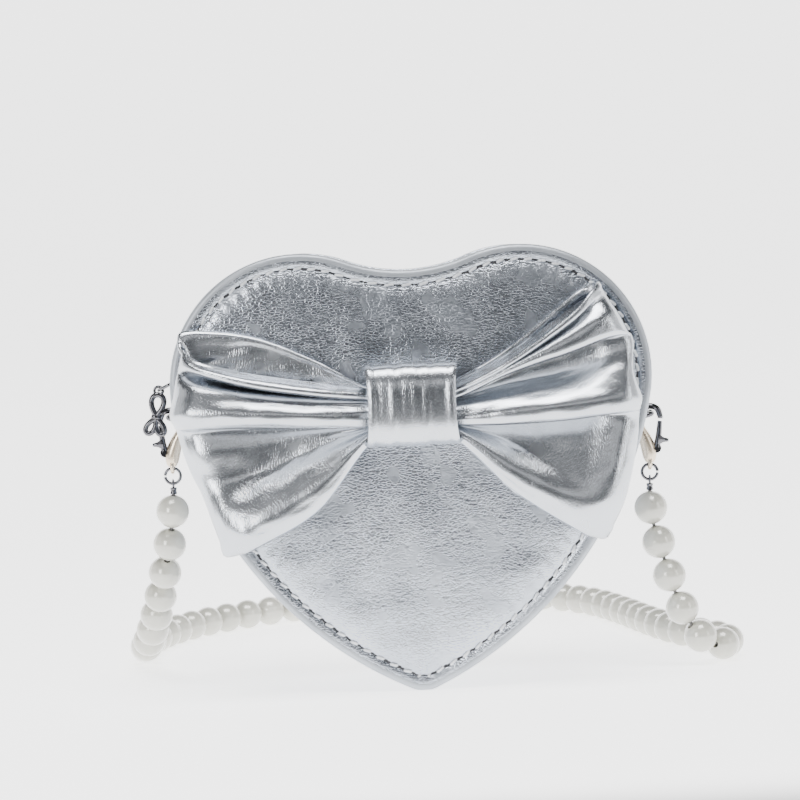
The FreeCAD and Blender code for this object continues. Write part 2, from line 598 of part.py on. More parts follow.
# Wire ring in the tab: two bars across the gusset and two sides, with round corners
half_ring = size("ring_width") / 2
inner_bar = Vector(fold_x, 0, size("tab_fold"))
outer_bar = Vector(size("ring_reach"), 0, size("tab_fold") + size("ring_rise"))
side_way = outer_bar - inner_bar
ring_pieces = []
for name, bar in (("inner", inner_bar), ("outer", outer_bar)):
    start = bar - Vector(0, half_ring, 0)
    ring_pieces.append(rod("ring_" + name, "Size.ring_wire", "Size.ring_width", start, FORWARD))
    for way in (-1, 1):
        corner = bar + Vector(0, way * half_ring, 0)
        ring_pieces.append(ball("ring_corner", "Size.ring_wire", corner))
for way in (-1, 1):
    start = inner_bar + Vector(0, way * half_ring, 0)
    ring_pieces.append(rod("ring_side", "Size.ring_wire", str(side_way.Length), start, side_way))
side_ring = fuse("ring", ring_pieces)
node(lowered("ring_right", side_ring), "right_side_ring")
node(mirrored("ring_left", side_ring, ACROSS_X), "left_side_ring")

# Clasp, drawn on the right before it is lowered, hanging from the ring's outer bar. Its trigger opens toward the purse.
HOOK_OUTER = "(Size.hook_inner + Size.hook_wire)"
BEND = "(Size.tab_fold + Size.ring_rise + Size.ring_wire + Size.hook_play - Size.hook_inner)"
BODY_TOP = "(" + BEND + " - Size.hook_drop)"
CLASP_FRONT = "(Size.clasp_shift - Size.clasp_thickness / 2)"
SLOT = "(Size.trigger_thickness + Size.spring_length + 3 * Size.trigger_play)"
bend = (size("tab_fold") + size("ring_rise") + size("ring_wire") + size("hook_play") - size("hook_inner"))
body_top = bend - size("hook_drop")
body_bottom = body_top - size("clasp_body_height")
clasp_front = size("clasp_shift") - size("clasp_thickness") / 2
bend_start = (size("ring_reach"), clasp_front, bend)
bend_outer = rod("bend_outer", HOOK_OUTER, "Size.clasp_thickness", bend_start, FORWARD)
bend_inner = rod("bend_inner", "Size.hook_inner", "Size.clasp_thickness", bend_start, FORWARD)
above_bend = block("above_bend", ("-" + FAR, "-" + FAR, BEND), (*SQUARE, FAR))
hook_bend = common("hook_bend", cut("bend_ring", bend_outer, bend_inner), above_bend)
shank = block("shank", ("Size.ring_reach - " + HOOK_OUTER, CLASP_FRONT, BODY_TOP),
              ("Size.hook_wire", "Size.clasp_thickness", "Size.hook_drop"))
free_end = block("free_end", ("Size.ring_reach + Size.hook_inner", CLASP_FRONT, BEND + " - Size.hook_tip"),
                 ("Size.hook_wire", "Size.clasp_thickness", "Size.hook_tip"))
solid_part = block("solid_part", ("Size.ring_reach - " + HOOK_OUTER, CLASP_FRONT,
                                  BODY_TOP + " - Size.clasp_body_height"),
                   ("2 * " + HOOK_OUTER, "Size.clasp_thickness", "Size.clasp_body_height"))
eye_height = body_bottom - size("eye_radius") + size("eye_sink")
SIDEWAYS = (1, 0, 0)
clasp_eye = wire_ring("clasp_eye", "Size.eye_radius", "Size.eye_wire",
                      (size("ring_reach"), size("clasp_shift"), eye_height), SIDEWAYS)
clasp_whole = fuse("clasp_whole", [hook_bend, shank, free_end, solid_part, clasp_eye])
PIVOT_X = "(Size.ring_reach + " + HOOK_OUTER + " - Size.pivot_inset)"
PIVOT_Z = "(" + BODY_TOP + " - Size.pivot_depth)"
ROOM = "(Size.trigger_hub + 3 * Size.trigger_play)"
slot = block("slot", (PIVOT_X + " - " + ROOM, "Size.clasp_shift - " + SLOT + " / 2", PIVOT_Z + " - " + ROOM),
             (FAR, SLOT, ROOM + " + Size.pivot_depth"))
pivot = (size("ring_reach") + size("hook_inner") + size("hook_wire") - size("pivot_inset"),
         clasp_front, body_top - size("pivot_depth"))
pin_hole = rod("pin_hole", "Size.pin_radius + Size.pin_play", "Size.clasp_thickness", pivot, FORWARD)
clasp_slotted = cut("clasp_slotted", clasp_whole, slot)
clasp_body = cut("clasp", clasp_slotted, pin_hole)
clasp_pin = rod("clasp_pin", "Size.pin_radius", "Size.clasp_thickness", pivot, FORWARD)
slot_width = size("trigger_thickness") + size("spring_length") + 3 * size("trigger_play")
trigger_front = size("clasp_shift") - slot_width / 2 + size("trigger_play")
spring_front = trigger_front + size("trigger_thickness") + size("trigger_play")
trigger_start = (pivot[0], trigger_front, pivot[2])
TRIGGER_FRONT = "(Size.clasp_shift - " + SLOT + " / 2 + Size.trigger_play)"
hub = rod("trigger_hub", "Size.trigger_hub", "Size.trigger_thickness", trigger_start, FORWARD)
bar = block("trigger_bar", (PIVOT_X + " + Size.trigger_hub - Size.trigger_bar", TRIGGER_FRONT, PIVOT_Z),
            ("Size.trigger_bar", "Size.trigger_thickness",
             BEND + " - Size.hook_tip - Size.trigger_tip_gap - " + PIVOT_Z))
nub = block("trigger_nub", (PIVOT_X + " + Size.trigger_hub - Size.trigger_bar / 2", TRIGGER_FRONT,
                            PIVOT_Z + " + Size.trigger_hub"),
            ("Size.nub_length + Size.trigger_bar / 2", "Size.trigger_thickness", "Size.nub_height"))
nub_end = (pivot[0] + size("trigger_hub") + size("nub_length"), trigger_front + size("trigger_thickness") / 2,
           pivot[2] + size("trigger_hub") + size("nub_height") / 2)
trigger_whole = fuse("trigger_whole", [hub, bar, nub, ball("nub_ball", "Size.nub_ball", nub_end)])
trigger_bore = rod("trigger_bore", "Size.pin_radius + Size.trigger_play", "Size.trigger_thickness",
                   trigger_start, FORWARD)
trigger = cut("trigger", trigger_whole, trigger_bore)
spring_start = (pivot[0], spring_front, pivot[2])
SPRING_BORE = "(Size.pin_radius + Size.trigger_play)"
spring_outer = rod("spring_outer", SPRING_BORE + " + Size.spring_wall", "Size.spring_length",
                   spring_start, FORWARD)
spring_inner = rod("spring_inner", SPRING_BORE, "Size.spring_length", spring_start, FORWARD)
clasp_spring = cut("clasp_spring", spring_outer, spring_inner)
jump_height = (eye_height - size("eye_radius") + size("eye_wire") + size("jump_wire") + size("hook_play")
               - size("jump_radius"))
jump_centre = (size("ring_reach"), size("clasp_shift"), jump_height)
jump_ring = wire_ring("jump_ring", "Size.jump_radius", "Size.jump_wire", jump_centre, FORWARD)

# Crimp on the strap's end: a wire loop round the jump ring and a tube for the string
loop_centre = Vector(size("ring_reach"), size("clasp_shift"), jump_height - size("jump_radius"))
crimp_loop = wire_ring("crimp_loop", "Size.crimp_loop", "Size.crimp_wire", loop_centre, SIDEWAYS)
crimp_top = loop_centre - Vector(0, 0, size("crimp_loop"))
DOWN = (0, 0, -1)
crimp_tube = rod("crimp_tube", "Size.crimp_radius", "Size.crimp_length", crimp_top, DOWN)
crimp_bore = rod("crimp_bore", "Size.string_radius + Size.layer_gap", "Size.crimp_length", crimp_top, DOWN)
crimp = fuse("crimp", [crimp_loop, cut("crimp_sleeve", crimp_tube, crimp_bore)])
for source, label in ((clasp_body, "clasp_body"), (clasp_pin, "clasp_pin"), (trigger, "trigger"),
                      (clasp_spring, "clasp_spring"), (jump_ring, "jump_ring"), (crimp, "crimp")):
    node(lowered("right_" + label + "_copy", source), "right_" + label)
    node(mirrored("left_" + label + "_copy", source, ACROSS_X), "left_" + label)

# Bow loops: a teardrop tube that stands upright, from the gathered neck to the outer fold
AXIS_Y = "-(" + FACE + " + Size.wing_axis)"
axis_y = -(size("bag_depth") / 2 + size("wing_axis"))
NECK_X = "(Size.core_width / 2 + Size.core_gap + Size.neck_radius)"
neck_x = size("core_width") / 2 + size("core_gap") + size("neck_radius")


def teardrop(name, reach, height):
    """Level outline round a small neck circle and a large end circle."""
    sketch = doc.addObject("Sketcher::SketchObject", name)
    neck = Vector(neck_x, 0, 0)
    end = Vector(size(reach) - size("wing_end_radius"), 0, 0)
    lean = math.asin((size("wing_end_radius") - size("neck_radius")) / (end.x - neck.x))
    turn = math.pi / 2 + lean
    normals = [Vector(math.cos(way * turn), math.sin(way * turn), 0) for way in (1, -1)]
    upper, lower = [(neck + normal * size("neck_radius"), end + normal * size("wing_end_radius"))
                    for normal in normals]
    sketch.addGeometry(arc_of(end, size("wing_end_radius"), -turn, turn), False)
    sketch.addGeometry(Part.LineSegment(upper[1], upper[0]), False)
    sketch.addGeometry(arc_of(neck, size("neck_radius"), turn, 2 * math.pi - turn), False)
    sketch.addGeometry(Part.LineSegment(lower[0], lower[1]), False)
    end_arc, upper_line, neck_arc, lower_line = range(4)
    for first, first_end, second, second_end in (
            (end_arc, END, upper_line, START), (upper_line, END, neck_arc, START),
            (neck_arc, END, lower_line, START), (lower_line, END, end_arc, START)):
        constrain(sketch, "Tangent", first, first_end, second, second_end)
    dimension(sketch, "Radius", end_arc, alias="wing_end_radius")
    dimension(sketch, "Radius", neck_arc, alias="neck_radius")
    for arc, expression, position in (
            (end_arc, "Size." + reach + " - Size.wing_end_radius", end.x), (neck_arc, NECK_X, neck.x)):
        constrain(sketch, "PointOnObject", arc, MIDDLE, LEVEL_AXIS)
        index = constrain(sketch, "DistanceX", ORIGIN, START, arc, MIDDLE, position)
        sketch.setExpression(f"Constraints[{index}]", expression)
    sketch.setExpression("Placement.Base.y", AXIS_Y)
    sketch.setExpression("Placement.Base.z", "Size." + height)
    return sketch


def loft(name, sections):
    item = doc.addObject("Part::Loft", name)
    item.Sections = sections
    item.Solid = True
    return item


levels = (("wing_reach_bottom", "wing_bottom"), ("wing_reach", "knot_height"), ("wing_reach_top", "wing_top"))
outer_sections = [teardrop("wing_at_" + height, reach, height) for reach, height in levels]
inner_sections = [inset(section.Name + "_hollow", section, "Size.wing_thickness") for section in outer_sections]
wing_tube = cut("wing_tube", loft("wing_whole", outer_sections), loft("wing_hollow", inner_sections))
knot_half = size("knot_width") / 2
neck_low = size("knot_height") - size("neck_half")
neck_high = size("knot_height") + size("neck_half")
beyond = size("wing_reach") + size("knot_width")
side_view = doc.addObject("Part::Polygon", "wing_side_view")
side_view.Nodes = [Vector(x, 0, z) for x, z in (
    (0, neck_low), (knot_half, neck_low), (size("wing_reach_bottom"), size("wing_bottom")),
    (beyond, size("wing_bottom")), (beyond, size("wing_top")),
    (size("wing_reach_top"), size("wing_top")), (knot_half, neck_high), (0, neck_high))]
side_view.Close = True
wing_prism = extrude("wing_prism", side_view, "-" + FAR, "2 * " + FAR)
right_wing = node(common("right_wing", wing_tube, wing_prism), "bow_right_loop")
node(mirrored("left_wing", right_wing, ACROSS_X), "bow_left_loop")


# Knot band: a soft-edged loop round the gathered necks, and the gathered core inside it
def rounded_front(name, base, radius):
    """Round the two level front edges of a block."""
    doc.recompute()
    item = doc.addObject("Part::Fillet", name)
    item.Base = base
    front = base.Shape.BoundBox.YMin
    picked = []
    for number, edge in enumerate(base.Shape.Edges, start=1):
        box = edge.BoundBox
        if box.YMax - front < radius / 10 and box.XLength > box.ZLength:
            picked.append((number, radius, radius))
    item.Edges = picked
    return item


KNOT_LOW = "(Size.knot_height - Size.knot_length / 2)"
band_whole = block("band_whole", ("-Size.knot_width / 2", "-(" + FACE + " + Size.knot_depth)", KNOT_LOW),
                   ("Size.knot_width", "Size.knot_depth", "Size.knot_length"))
band_hollow = block("band_hollow", ("-Size.knot_width / 2",
                                    "-(" + FACE + " + Size.knot_depth - Size.band_thickness)",
                                    KNOT_LOW + " + Size.band_thickness"),
                    ("Size.knot_width", "Size.knot_depth - 2 * Size.band_thickness",
                     "Size.knot_length - 2 * Size.band_thickness"))
band_outside = rounded_front("band_outside", band_whole, size("knot_rounding"))
band_inside = rounded_front("band_inside", band_hollow, size("knot_rounding") - size("band_thickness"))
band_loop = cut("band_loop", band_outside, band_inside)
node(cut("band", band_loop, rivet_hole("band_hole", "Size.rivet_radius")), "bow_knot_band")
CORE_HALF = "(Size.knot_length / 2 - Size.band_thickness - Size.core_gap)"
node(block("core", ("-Size.core_width / 2", AXIS_Y + " - Size.core_depth / 2",
                    "Size.knot_height - " + CORE_HALF),
           ("Size.core_width", "Size.core_depth", "2 * " + CORE_HALF)), "bow_core")

# Strap: the string's route from the left crimp to the right one, as it lies behind the purse
string_end = crimp_top - Vector(0, 0, size("crimp_length") / 2)
lying = size("bead_radius")
# Each point: share of the ends' distance from the middle, of the strap's depth and of the ends' height
ROUTE = [
    (-1.014, 0.006, 0.785), (-1.067, 0.048, 0.502), (-1.129, 0.137, 0.237), (-1.191, 0.248, 0.055),
    (-1.226, 0.371, 0.0), (-1.205, 0.527, 0.0), (-1.053, 0.705, 0.0), (-0.748, 0.861, 0.0),
    (-0.319, 0.972, 0.0), (0.18, 1.0, 0.0), (0.596, 0.928, 0.0), (0.831, 0.772, 0.0),
    (0.942, 0.588, 0.0), (1.025, 0.41, 0.0), (1.122, 0.254, 0.0), (1.267, 0.154, 0.0),
    (1.302, 0.056, 0.0), (1.169, 0.001, 0.018), (1.067, -0.007, 0.255), (1.014, -0.002, 0.514),
]


def route_point(across, behind, up):
    """Place of one point of the route."""
    return Vector(across * string_end.x, string_end.y + behind * size("strap_depth"),
                  lying + up * (string_end.z - lying))


route = [Vector(-string_end.x, string_end.y, string_end.z)]
route += [route_point(*shares) for shares in ROUTE]
right_end = right_turn.multVec(string_end)
route.append(right_end + right_turn.Rotation.multVec(Vector(0, 0, -size("string_lead"))))
route.append(right_end)
SHARE_OF_RUN = 0.45


def tangent_arc(before, corner, after):
    """Arc that rounds one corner, as large as its two runs allow, and its radius."""
    back = (before - corner).normalize()
    ahead = (after - corner).normalize()
    half_turn = (math.pi - back.getAngle(ahead)) / 2
    reach = SHARE_OF_RUN * min((before - corner).Length, (after - corner).Length)
    radius = reach / math.tan(half_turn)
    inward = (back + ahead).normalize()
    middle = corner + inward * (radius / math.cos(half_turn) - radius)
    return Part.Arc(corner + back * reach, middle, corner + ahead * reach), radius


pieces = []
radii = []
last = route[0]
for before, corner, after in zip(route, route[1:], route[2:]):
    arc, radius = tangent_arc(before, corner, after)
    pieces.append(Part.LineSegment(last, arc.StartPoint))
    pieces.append(arc)
    radii.append(radius)
    last = arc.EndPoint
pieces.append(Part.LineSegment(last, route[-1]))
path = Part.Wire([piece.toShape() for piece in pieces])
first_way = (route[1] - route[0]).normalize()
section = Part.Wire([Part.Circle(route[0], first_way, size("string_radius")).toShape()])
string = doc.addObject("Part::Feature", "string")
string.Shape = path.makePipeShell([section], True, False)
node(string, "strap_string")
print("string length", round(path.Length, 1), "least bend radius", round(min(radii), 1))
print("pull pivot", [round(value, 3) for value in pull_pivot], "clasp pivot", round(size("ring_reach"), 3))
for name, place in (("right clasp pivot", Vector(outer_bar.x, size("clasp_shift"), outer_bar.z)),
                    ("right trigger pivot", Vector(pivot[0], size("clasp_shift"), pivot[2]))):
    print(name, [round(value, 3) for value in right_turn.multVec(place)])
print("right string", [[round(value, 3) for value in point] for point in route[-4:]])
print("string volume against section times length",
      round(string.Shape.Volume / (math.pi * size("string_radius") ** 2 * path.Length), 4))

# Beads, evenly spaced between the two crimps
first_bead = size("crimp_length") / 2 + size("bead_gap") / 2 + size("bead_radius")
run = path.Length - 2 * first_bead
count = 1 + int(run / (2 * size("bead_radius") + size("bead_gap")))
stations = [first_bead + run * number / (count - 1) for number in range(count)]


def place_on(path, station):
    """Point and direction at a distance along the route."""
    for edge in path.OrderedEdges:
        if station <= edge.Length:
            parameter = edge.getParameterByLength(station)
            return edge.valueAt(parameter), edge.tangentAt(parameter)
        station -= edge.Length
    raise ValueError("station beyond the route")


bore = Part.makeCylinder(size("bead_bore"), 4 * size("bead_radius"), Vector(0, 0, -2 * size("bead_radius")))
bead = Part.makeSphere(size("bead_radius")).cut(bore)
strung = []
for station in stations:
    point, way = place_on(path, station)
    copy = bead.copy()
    copy.Placement = Placement(point, Rotation(Vector(0, 0, 1), way))
    strung.append(copy)
pearls = doc.addObject("Part::Feature", "pearls")
pearls.Shape = Part.makeCompound(strung)
node(pearls, "pearl_beads")
print("beads", count, "pitch", round(run / (count - 1), 3))

doc.recompute()
for item in doc.Objects:
    if "Invalid" in item.State or "Error" in item.State:
        raise RuntimeError(item.Name + " failed: " + str(item.State))
for item in nodes:
    if item.Shape.isNull() or not item.Shape.isValid():
        raise RuntimeError(item.Label + " has no valid shape")
os.makedirs("parts", exist_ok=True)
for item in nodes:
    item.Shape.exportStep("parts/" + item.Label + ".step")
    print(item.Label, len(item.Shape.Solids), "solid(s)", round(item.Shape.Volume, 1), "mm3")
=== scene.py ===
# %% [markdown]
# # A heart shaped purse with a bow and a strap of pearls
# The purse comes as an assembly of plain solids with joints. Here each soft piece gets its
# real form and every surface gets its finish. Shapes are worked out in millimetres, in the
# frame of the solids: the front looks along -Y, +Z is up and the tip stands on the origin.
# What the purse has on its left and right side is made by a loop over the sides, -1 and 1.
# What it has at the front and at the back is made by a loop over the halves: 1 faces the
# front and -1 the back, with the body that carries that half and the half's name.

# %% Load the frame
import math

import bmesh
import bpy
import numpy as np
from mathutils import Matrix, Vector


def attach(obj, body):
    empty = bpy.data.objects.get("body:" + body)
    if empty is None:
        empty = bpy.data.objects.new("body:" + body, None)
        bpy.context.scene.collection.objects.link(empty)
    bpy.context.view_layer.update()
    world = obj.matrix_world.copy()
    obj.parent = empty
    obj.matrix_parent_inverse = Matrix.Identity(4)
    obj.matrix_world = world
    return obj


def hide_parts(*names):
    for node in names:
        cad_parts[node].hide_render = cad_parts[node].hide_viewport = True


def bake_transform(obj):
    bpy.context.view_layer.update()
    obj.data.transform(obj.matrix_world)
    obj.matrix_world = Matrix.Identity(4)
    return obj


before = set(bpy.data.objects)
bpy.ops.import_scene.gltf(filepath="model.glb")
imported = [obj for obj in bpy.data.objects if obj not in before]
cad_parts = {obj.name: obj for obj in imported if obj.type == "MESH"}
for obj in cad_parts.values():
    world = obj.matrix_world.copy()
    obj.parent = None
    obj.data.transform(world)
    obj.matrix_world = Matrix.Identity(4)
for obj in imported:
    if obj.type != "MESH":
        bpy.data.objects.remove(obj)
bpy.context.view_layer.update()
MM = 0.001
MERGE_DISTANCE = 1e-6
SIDES = ((-1, "left"), (1, "right"))
HALVES = ((1, "front", "front"), (-1, "bag", "back"))


def add_object(name, data):
    """New object of the scene that holds the given data."""
    item = bpy.data.objects.new(name, data)
    bpy.context.scene.collection.objects.link(item)
    return item


# %% [markdown]
# The photograph was taken from about a metre away, a little above the purse, with a long
# lens. The picture leans, so the camera is rolled instead of the purse. Its three axes are
# worked out from the pitch and the roll, and written straight into its matrix.

# %% Camera
CAMERA_PLACE = np.array([-3.4, -975.0, 130.0])
CAMERA_PITCH = math.radians(2.72)
CAMERA_ROLL = math.radians(2.63)
CAMERA_LENS = 147.7
forward = np.array([0.0, math.cos(CAMERA_PITCH), -math.sin(CAMERA_PITCH)])
level = np.array([1.0, 0.0, 0.0])
upright = np.cross(level, forward)
across = math.cos(CAMERA_ROLL) * level - math.sin(CAMERA_ROLL) * upright
above = math.sin(CAMERA_ROLL) * level + math.cos(CAMERA_ROLL) * upright
camera_data = bpy.data.cameras.new("camera")
camera_data.lens = CAMERA_LENS
camera_data.clip_end = 20.0
camera = add_object("camera", camera_data)
turn = Matrix((across, above, -forward)).transposed().to_4x4()
camera.matrix_world = Matrix.Translation(Vector(CAMERA_PLACE * MM)) @ turn
bpy.context.scene.camera = camera
print("camera", camera.location[:])

# %% [markdown]
# Most pieces are grids of points: a profile carried along a path, or a surface of two
# parameters. A few helpers join the grid's neighbours with quads, close the ends, and turn
# the arrays into an object that rides on one body of the frame. Merging doubles closes
# seams and poles, and the normals are then turned outward.


# %% Grid helpers
def unit(vectors):
    """Vectors divided by their length, along the last axis."""
    return vectors / np.linalg.norm(vectors, axis=-1, keepdims=True)


def grid_faces(rows, columns, wrap_rows=False, wrap_columns=False):
    """Quads between neighbours of a grid whose points are numbered row by row."""
    row = np.arange(rows if wrap_rows else rows - 1)
    column = np.arange(columns if wrap_columns else columns - 1)
    row, column = np.meshgrid(row, column, indexing="ij")
    next_row = (row + 1) % rows
    next_column = (column + 1) % columns
    corners = [row * columns + column, row * columns + next_column,
               next_row * columns + next_column, next_row * columns + column]
    return np.stack(corners, axis=-1).reshape(-1, 4)


def joined_rings(rings):
    """Rings joined in a row, with both ends open."""
    return rings.reshape(-1, 3), grid_faces(len(rings), rings.shape[1], wrap_columns=True)


def closed_tube(rings):
    """Rings joined in a row. A ring shrunk to its middle closes each end."""
    first = np.broadcast_to(rings[:1].mean(axis=1, keepdims=True), rings[:1].shape)
    last = np.broadcast_to(rings[-1:].mean(axis=1, keepdims=True), rings[-1:].shape)
    return joined_rings(np.concatenate([first, rings, last]))


def closed_ring(rings):
    """Rings joined in a row, the last one to the first."""
    return rings.reshape(-1, 3), grid_faces(len(rings), rings.shape[1], True, True)


def together(parts):
    """Several (points, faces) pairs as one pair."""
    points = np.concatenate([part[0] for part in parts])
    starts = np.cumsum([0] + [len(part[0]) for part in parts[:-1]])
    faces = np.concatenate([part[1] + start for part, start in zip(parts, starts)])
    return points, faces


def repeated(copies, faces):
    """One shape's faces for many copies of its points, an array of copies by points by 3."""
    count, size = copies.shape[:2]
    shifted = faces[None] + (np.arange(count) * size)[:, None, None]
    return copies.reshape(-1, 3), shifted.reshape(-1, faces.shape[1])


def make_piece(name, part, finish, body=None, stands_for=(), sharp=50.0):
    """Object from points in millimetres and quads, with its finish, body and CAD nodes."""
    points, faces = part
    mesh = bpy.data.meshes.new(name)
    mesh.from_pydata((np.asarray(points) * MM).tolist(), [], faces.tolist())
    work = bmesh.new()
    work.from_mesh(mesh)
    bmesh.ops.remove_doubles(work, verts=work.verts, dist=MERGE_DISTANCE)
    bmesh.ops.dissolve_degenerate(work, edges=work.edges, dist=MERGE_DISTANCE)
    bmesh.ops.recalc_face_normals(work, faces=work.faces)
    work.to_mesh(mesh)
    work.free()
    mesh.polygons.foreach_set("use_smooth", np.ones(len(mesh.polygons), bool))
    mesh.set_sharp_from_angle(angle=math.radians(sharp))
    mesh.materials.append(finish)
    piece = add_object(name, mesh)
    if body:
        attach(piece, body)
    if stands_for:
        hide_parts(*stands_for)
    print(name, len(mesh.polygons), "faces")
    return piece


# %% [markdown]
# A tube is a circle carried along a path. Each ring needs two directions square to the
# path; the first leans toward a chosen direction that never runs along the path. Smooth
# curves through a few chosen points use cubic pieces whose slope at a point is half the
# step between its two neighbours.


# %% Curves and tubes
def full_turn(count):
    """Angles spread evenly round a circle."""
    return np.linspace(0, 2 * np.pi, count, endpoint=False)


def across_path(tangent, toward):
    """Two directions square to each tangent; the first leans toward a chosen direction."""
    toward = np.broadcast_to(np.asarray(toward, float), tangent.shape)
    first = unit(toward - (toward * tangent).sum(axis=1, keepdims=True) * tangent)
    return first, np.cross(tangent, first)


def tube(path, radius, sides, toward, closed=False, flatness=1.0):
    """Rings round a path: the point plus radius times cosine of one direction and flatness
    times radius times sine of the other."""
    if closed:
        tangent = unit(np.roll(path, -1, axis=0) - np.roll(path, 1, axis=0))
    else:
        tangent = unit(np.gradient(path, axis=0))
    first, second = across_path(tangent, toward)
    angle = full_turn(sides)[None, :, None]
    radius = np.broadcast_to(np.asarray(radius, float), len(path))[:, None, None]
    ring = np.cos(angle) * first[:, None] + flatness * np.sin(angle) * second[:, None]
    return path[:, None] + radius * ring


def smooth_line(points, steps, axis=0):
    """Cubic through every point along one axis: ends' positions and slopes weighted by the
    four Hermite polynomials of the share of the step."""
    points = np.moveaxis(np.asarray(points, float), axis, 0)
    slope = np.gradient(points, axis=0)
    place = np.linspace(0, len(points) - 1, (len(points) - 1) * steps + 1)
    step = np.minimum(place.astype(int), len(points) - 2)
    share = (place - step).reshape((-1,) + (1,) * (points.ndim - 1))
    square, cube = share ** 2, share ** 3
    line = ((2 * cube - 3 * square + 1) * points[step] + (cube - 2 * square + share) * slope[step]
            + (3 * square - 2 * cube) * points[step + 1] + (cube - square) * slope[step + 1])
    return np.moveaxis(line, 0, axis)


def smooth_step(value, low, high):
    """0 below low, 1 above high, and 3t^2 - 2t^3 between."""
    share = np.clip((value - low) / (high - low), 0, 1)
    return share * share * (3 - 2 * share)


def circle(centre, radius, axis, count=40, sweep=360.0, start=0.0):
    """Points of a circle, or of part of one, square to an axis."""
    axis = unit(np.asarray(axis, float))
    helper = np.array([0.0, 0.0, 1.0]) if abs(axis[2]) < 0.9 else np.array([1.0, 0.0, 0.0])
    first = unit(helper - helper @ axis * axis)
    second = np.cross(axis, first)
    whole = sweep >= 360.0
    angle = np.radians(start + np.linspace(0, sweep, count, endpoint=not whole))[:, None]
    return np.asarray(centre, float) + radius * (np.cos(angle) * first + np.sin(angle) * second)


def wire_ring(centre, radius, axis, wire, count, sides):
    """A closed ring of round wire, square to an axis."""
    return closed_ring(tube(circle(centre, radius, axis, count), wire, sides, axis, closed=True))


def toward_square(wave, power):
    """A sine or cosine pushed out toward a square: its sign times a power of its size."""
    return np.sign(wave) * np.abs(wave) ** power


print("helpers ready")

# %% [markdown]
# The skin is imitation leather with a silver foil: tiny pebbles parted by creases, a few
# long creases, and patches that are a little duller than others. Two node groups hold the
# pebbles and the patches, so every finish can place them at its own scale. A third group
# makes the crossed threads of the zip tape and the lining.


# %% Shared effects
def new_group(name, inputs, outputs):
    """Empty shader group with named sockets, and the two nodes that hold them."""
    group = bpy.data.node_groups.new(name, "ShaderNodeTree")
    for label, kind, value in inputs:
        socket = group.interface.new_socket(name=label, in_out="INPUT", socket_type=kind)
        if value is not None:
            socket.default_value = value
    for label in outputs:
        group.interface.new_socket(name=label, in_out="OUTPUT", socket_type="NodeSocketFloat")
    return group, group.nodes.new("NodeGroupInput"), group.nodes.new("NodeGroupOutput")


def feed(tree, value, socket):
    """Gives a socket its value: a link from another socket, or a fixed number or colour."""
    if isinstance(value, bpy.types.NodeSocket):
        tree.links.new(value, socket)
    else:
        socket.default_value = value


def math_node(tree, operation, first, second=0.0):
    """One sum of two values; each is a socket or a number."""
    item = tree.nodes.new("ShaderNodeMath")
    item.operation = operation
    feed(tree, first, item.inputs[0])
    feed(tree, second, item.inputs[1])
    return item.outputs[0]


def map_range(tree, value, low, high, new_low, new_high, way="SMOOTHSTEP"):
    """A value moved from one range to another and kept within its ends."""
    item = tree.nodes.new("ShaderNodeMapRange")
    item.interpolation_type = way
    for label, given in (("Value", value), ("From Min", low), ("From Max", high),
                         ("To Min", new_low), ("To Max", new_high)):
        feed(tree, given, item.inputs[label])
    return item.outputs["Result"]


def noise(tree, vector, scale, detail=2.0):
    """Node that makes a cloudy value round 0.5."""
    item = tree.nodes.new("ShaderNodeTexNoise")
    for label, given in (("Vector", vector), ("Scale", scale), ("Detail", detail)):
        feed(tree, given, item.inputs[label])
    return item


# Scales and reaches in the grain are shares of the pebbles' own scale and size
WANDER_SCALE, WANDER_REACH = 0.45, 0.8
GROOVE_WIDTH, PEBBLE_HEIGHT = 0.16, 0.5
RIPPLE_SCALE, CREASE_SCALE = 0.8, 0.2
PATCH_LOW, PATCH_HIGH = 0.2, 0.8
WAVES_PER_THREAD, THREAD_WOBBLE = 0.16, 0.4

grain_group, grain_in, grain_out = new_group(
    "leather_grain",
    [("Vector", "NodeSocketVector", None), ("Pebbles per metre", "NodeSocketFloat", 900.0)], ["Height"])
grain_place = grain_in.outputs["Vector"]
grain_scale = grain_in.outputs["Pebbles per metre"]
wander = noise(grain_group, grain_place, math_node(grain_group, "MULTIPLY", grain_scale, WANDER_SCALE))
wander_step = grain_group.nodes.new("ShaderNodeVectorMath")
wander_step.operation = "SCALE"
grain_group.links.new(wander.outputs["Color"], wander_step.inputs[0])
wander_reach = math_node(grain_group, "DIVIDE", WANDER_REACH, grain_scale)
grain_group.links.new(wander_reach, wander_step.inputs["Scale"])
wandered = grain_group.nodes.new("ShaderNodeVectorMath")
wandered.operation = "ADD"
grain_group.links.new(wander_step.outputs[0], wandered.inputs[0])
grain_group.links.new(grain_place, wandered.inputs[1])
pebbles = grain_group.nodes.new("ShaderNodeTexVoronoi")
pebbles.feature = "DISTANCE_TO_EDGE"
grain_group.links.new(wandered.outputs[0], pebbles.inputs["Vector"])
grain_group.links.new(grain_scale, pebbles.inputs["Scale"])
grain_height = map_range(grain_group, pebbles.outputs["Distance"], 0.0, GROOVE_WIDTH, 0.0, PEBBLE_HEIGHT)
for share in (RIPPLE_SCALE, CREASE_SCALE):
    layer = noise(grain_group, wandered.outputs[0], math_node(grain_group, "MULTIPLY", grain_scale, share))
    grain_height = math_node(grain_group, "ADD", grain_height, layer.outputs["Fac"])
grain_group.links.new(grain_height, grain_out.inputs["Height"])

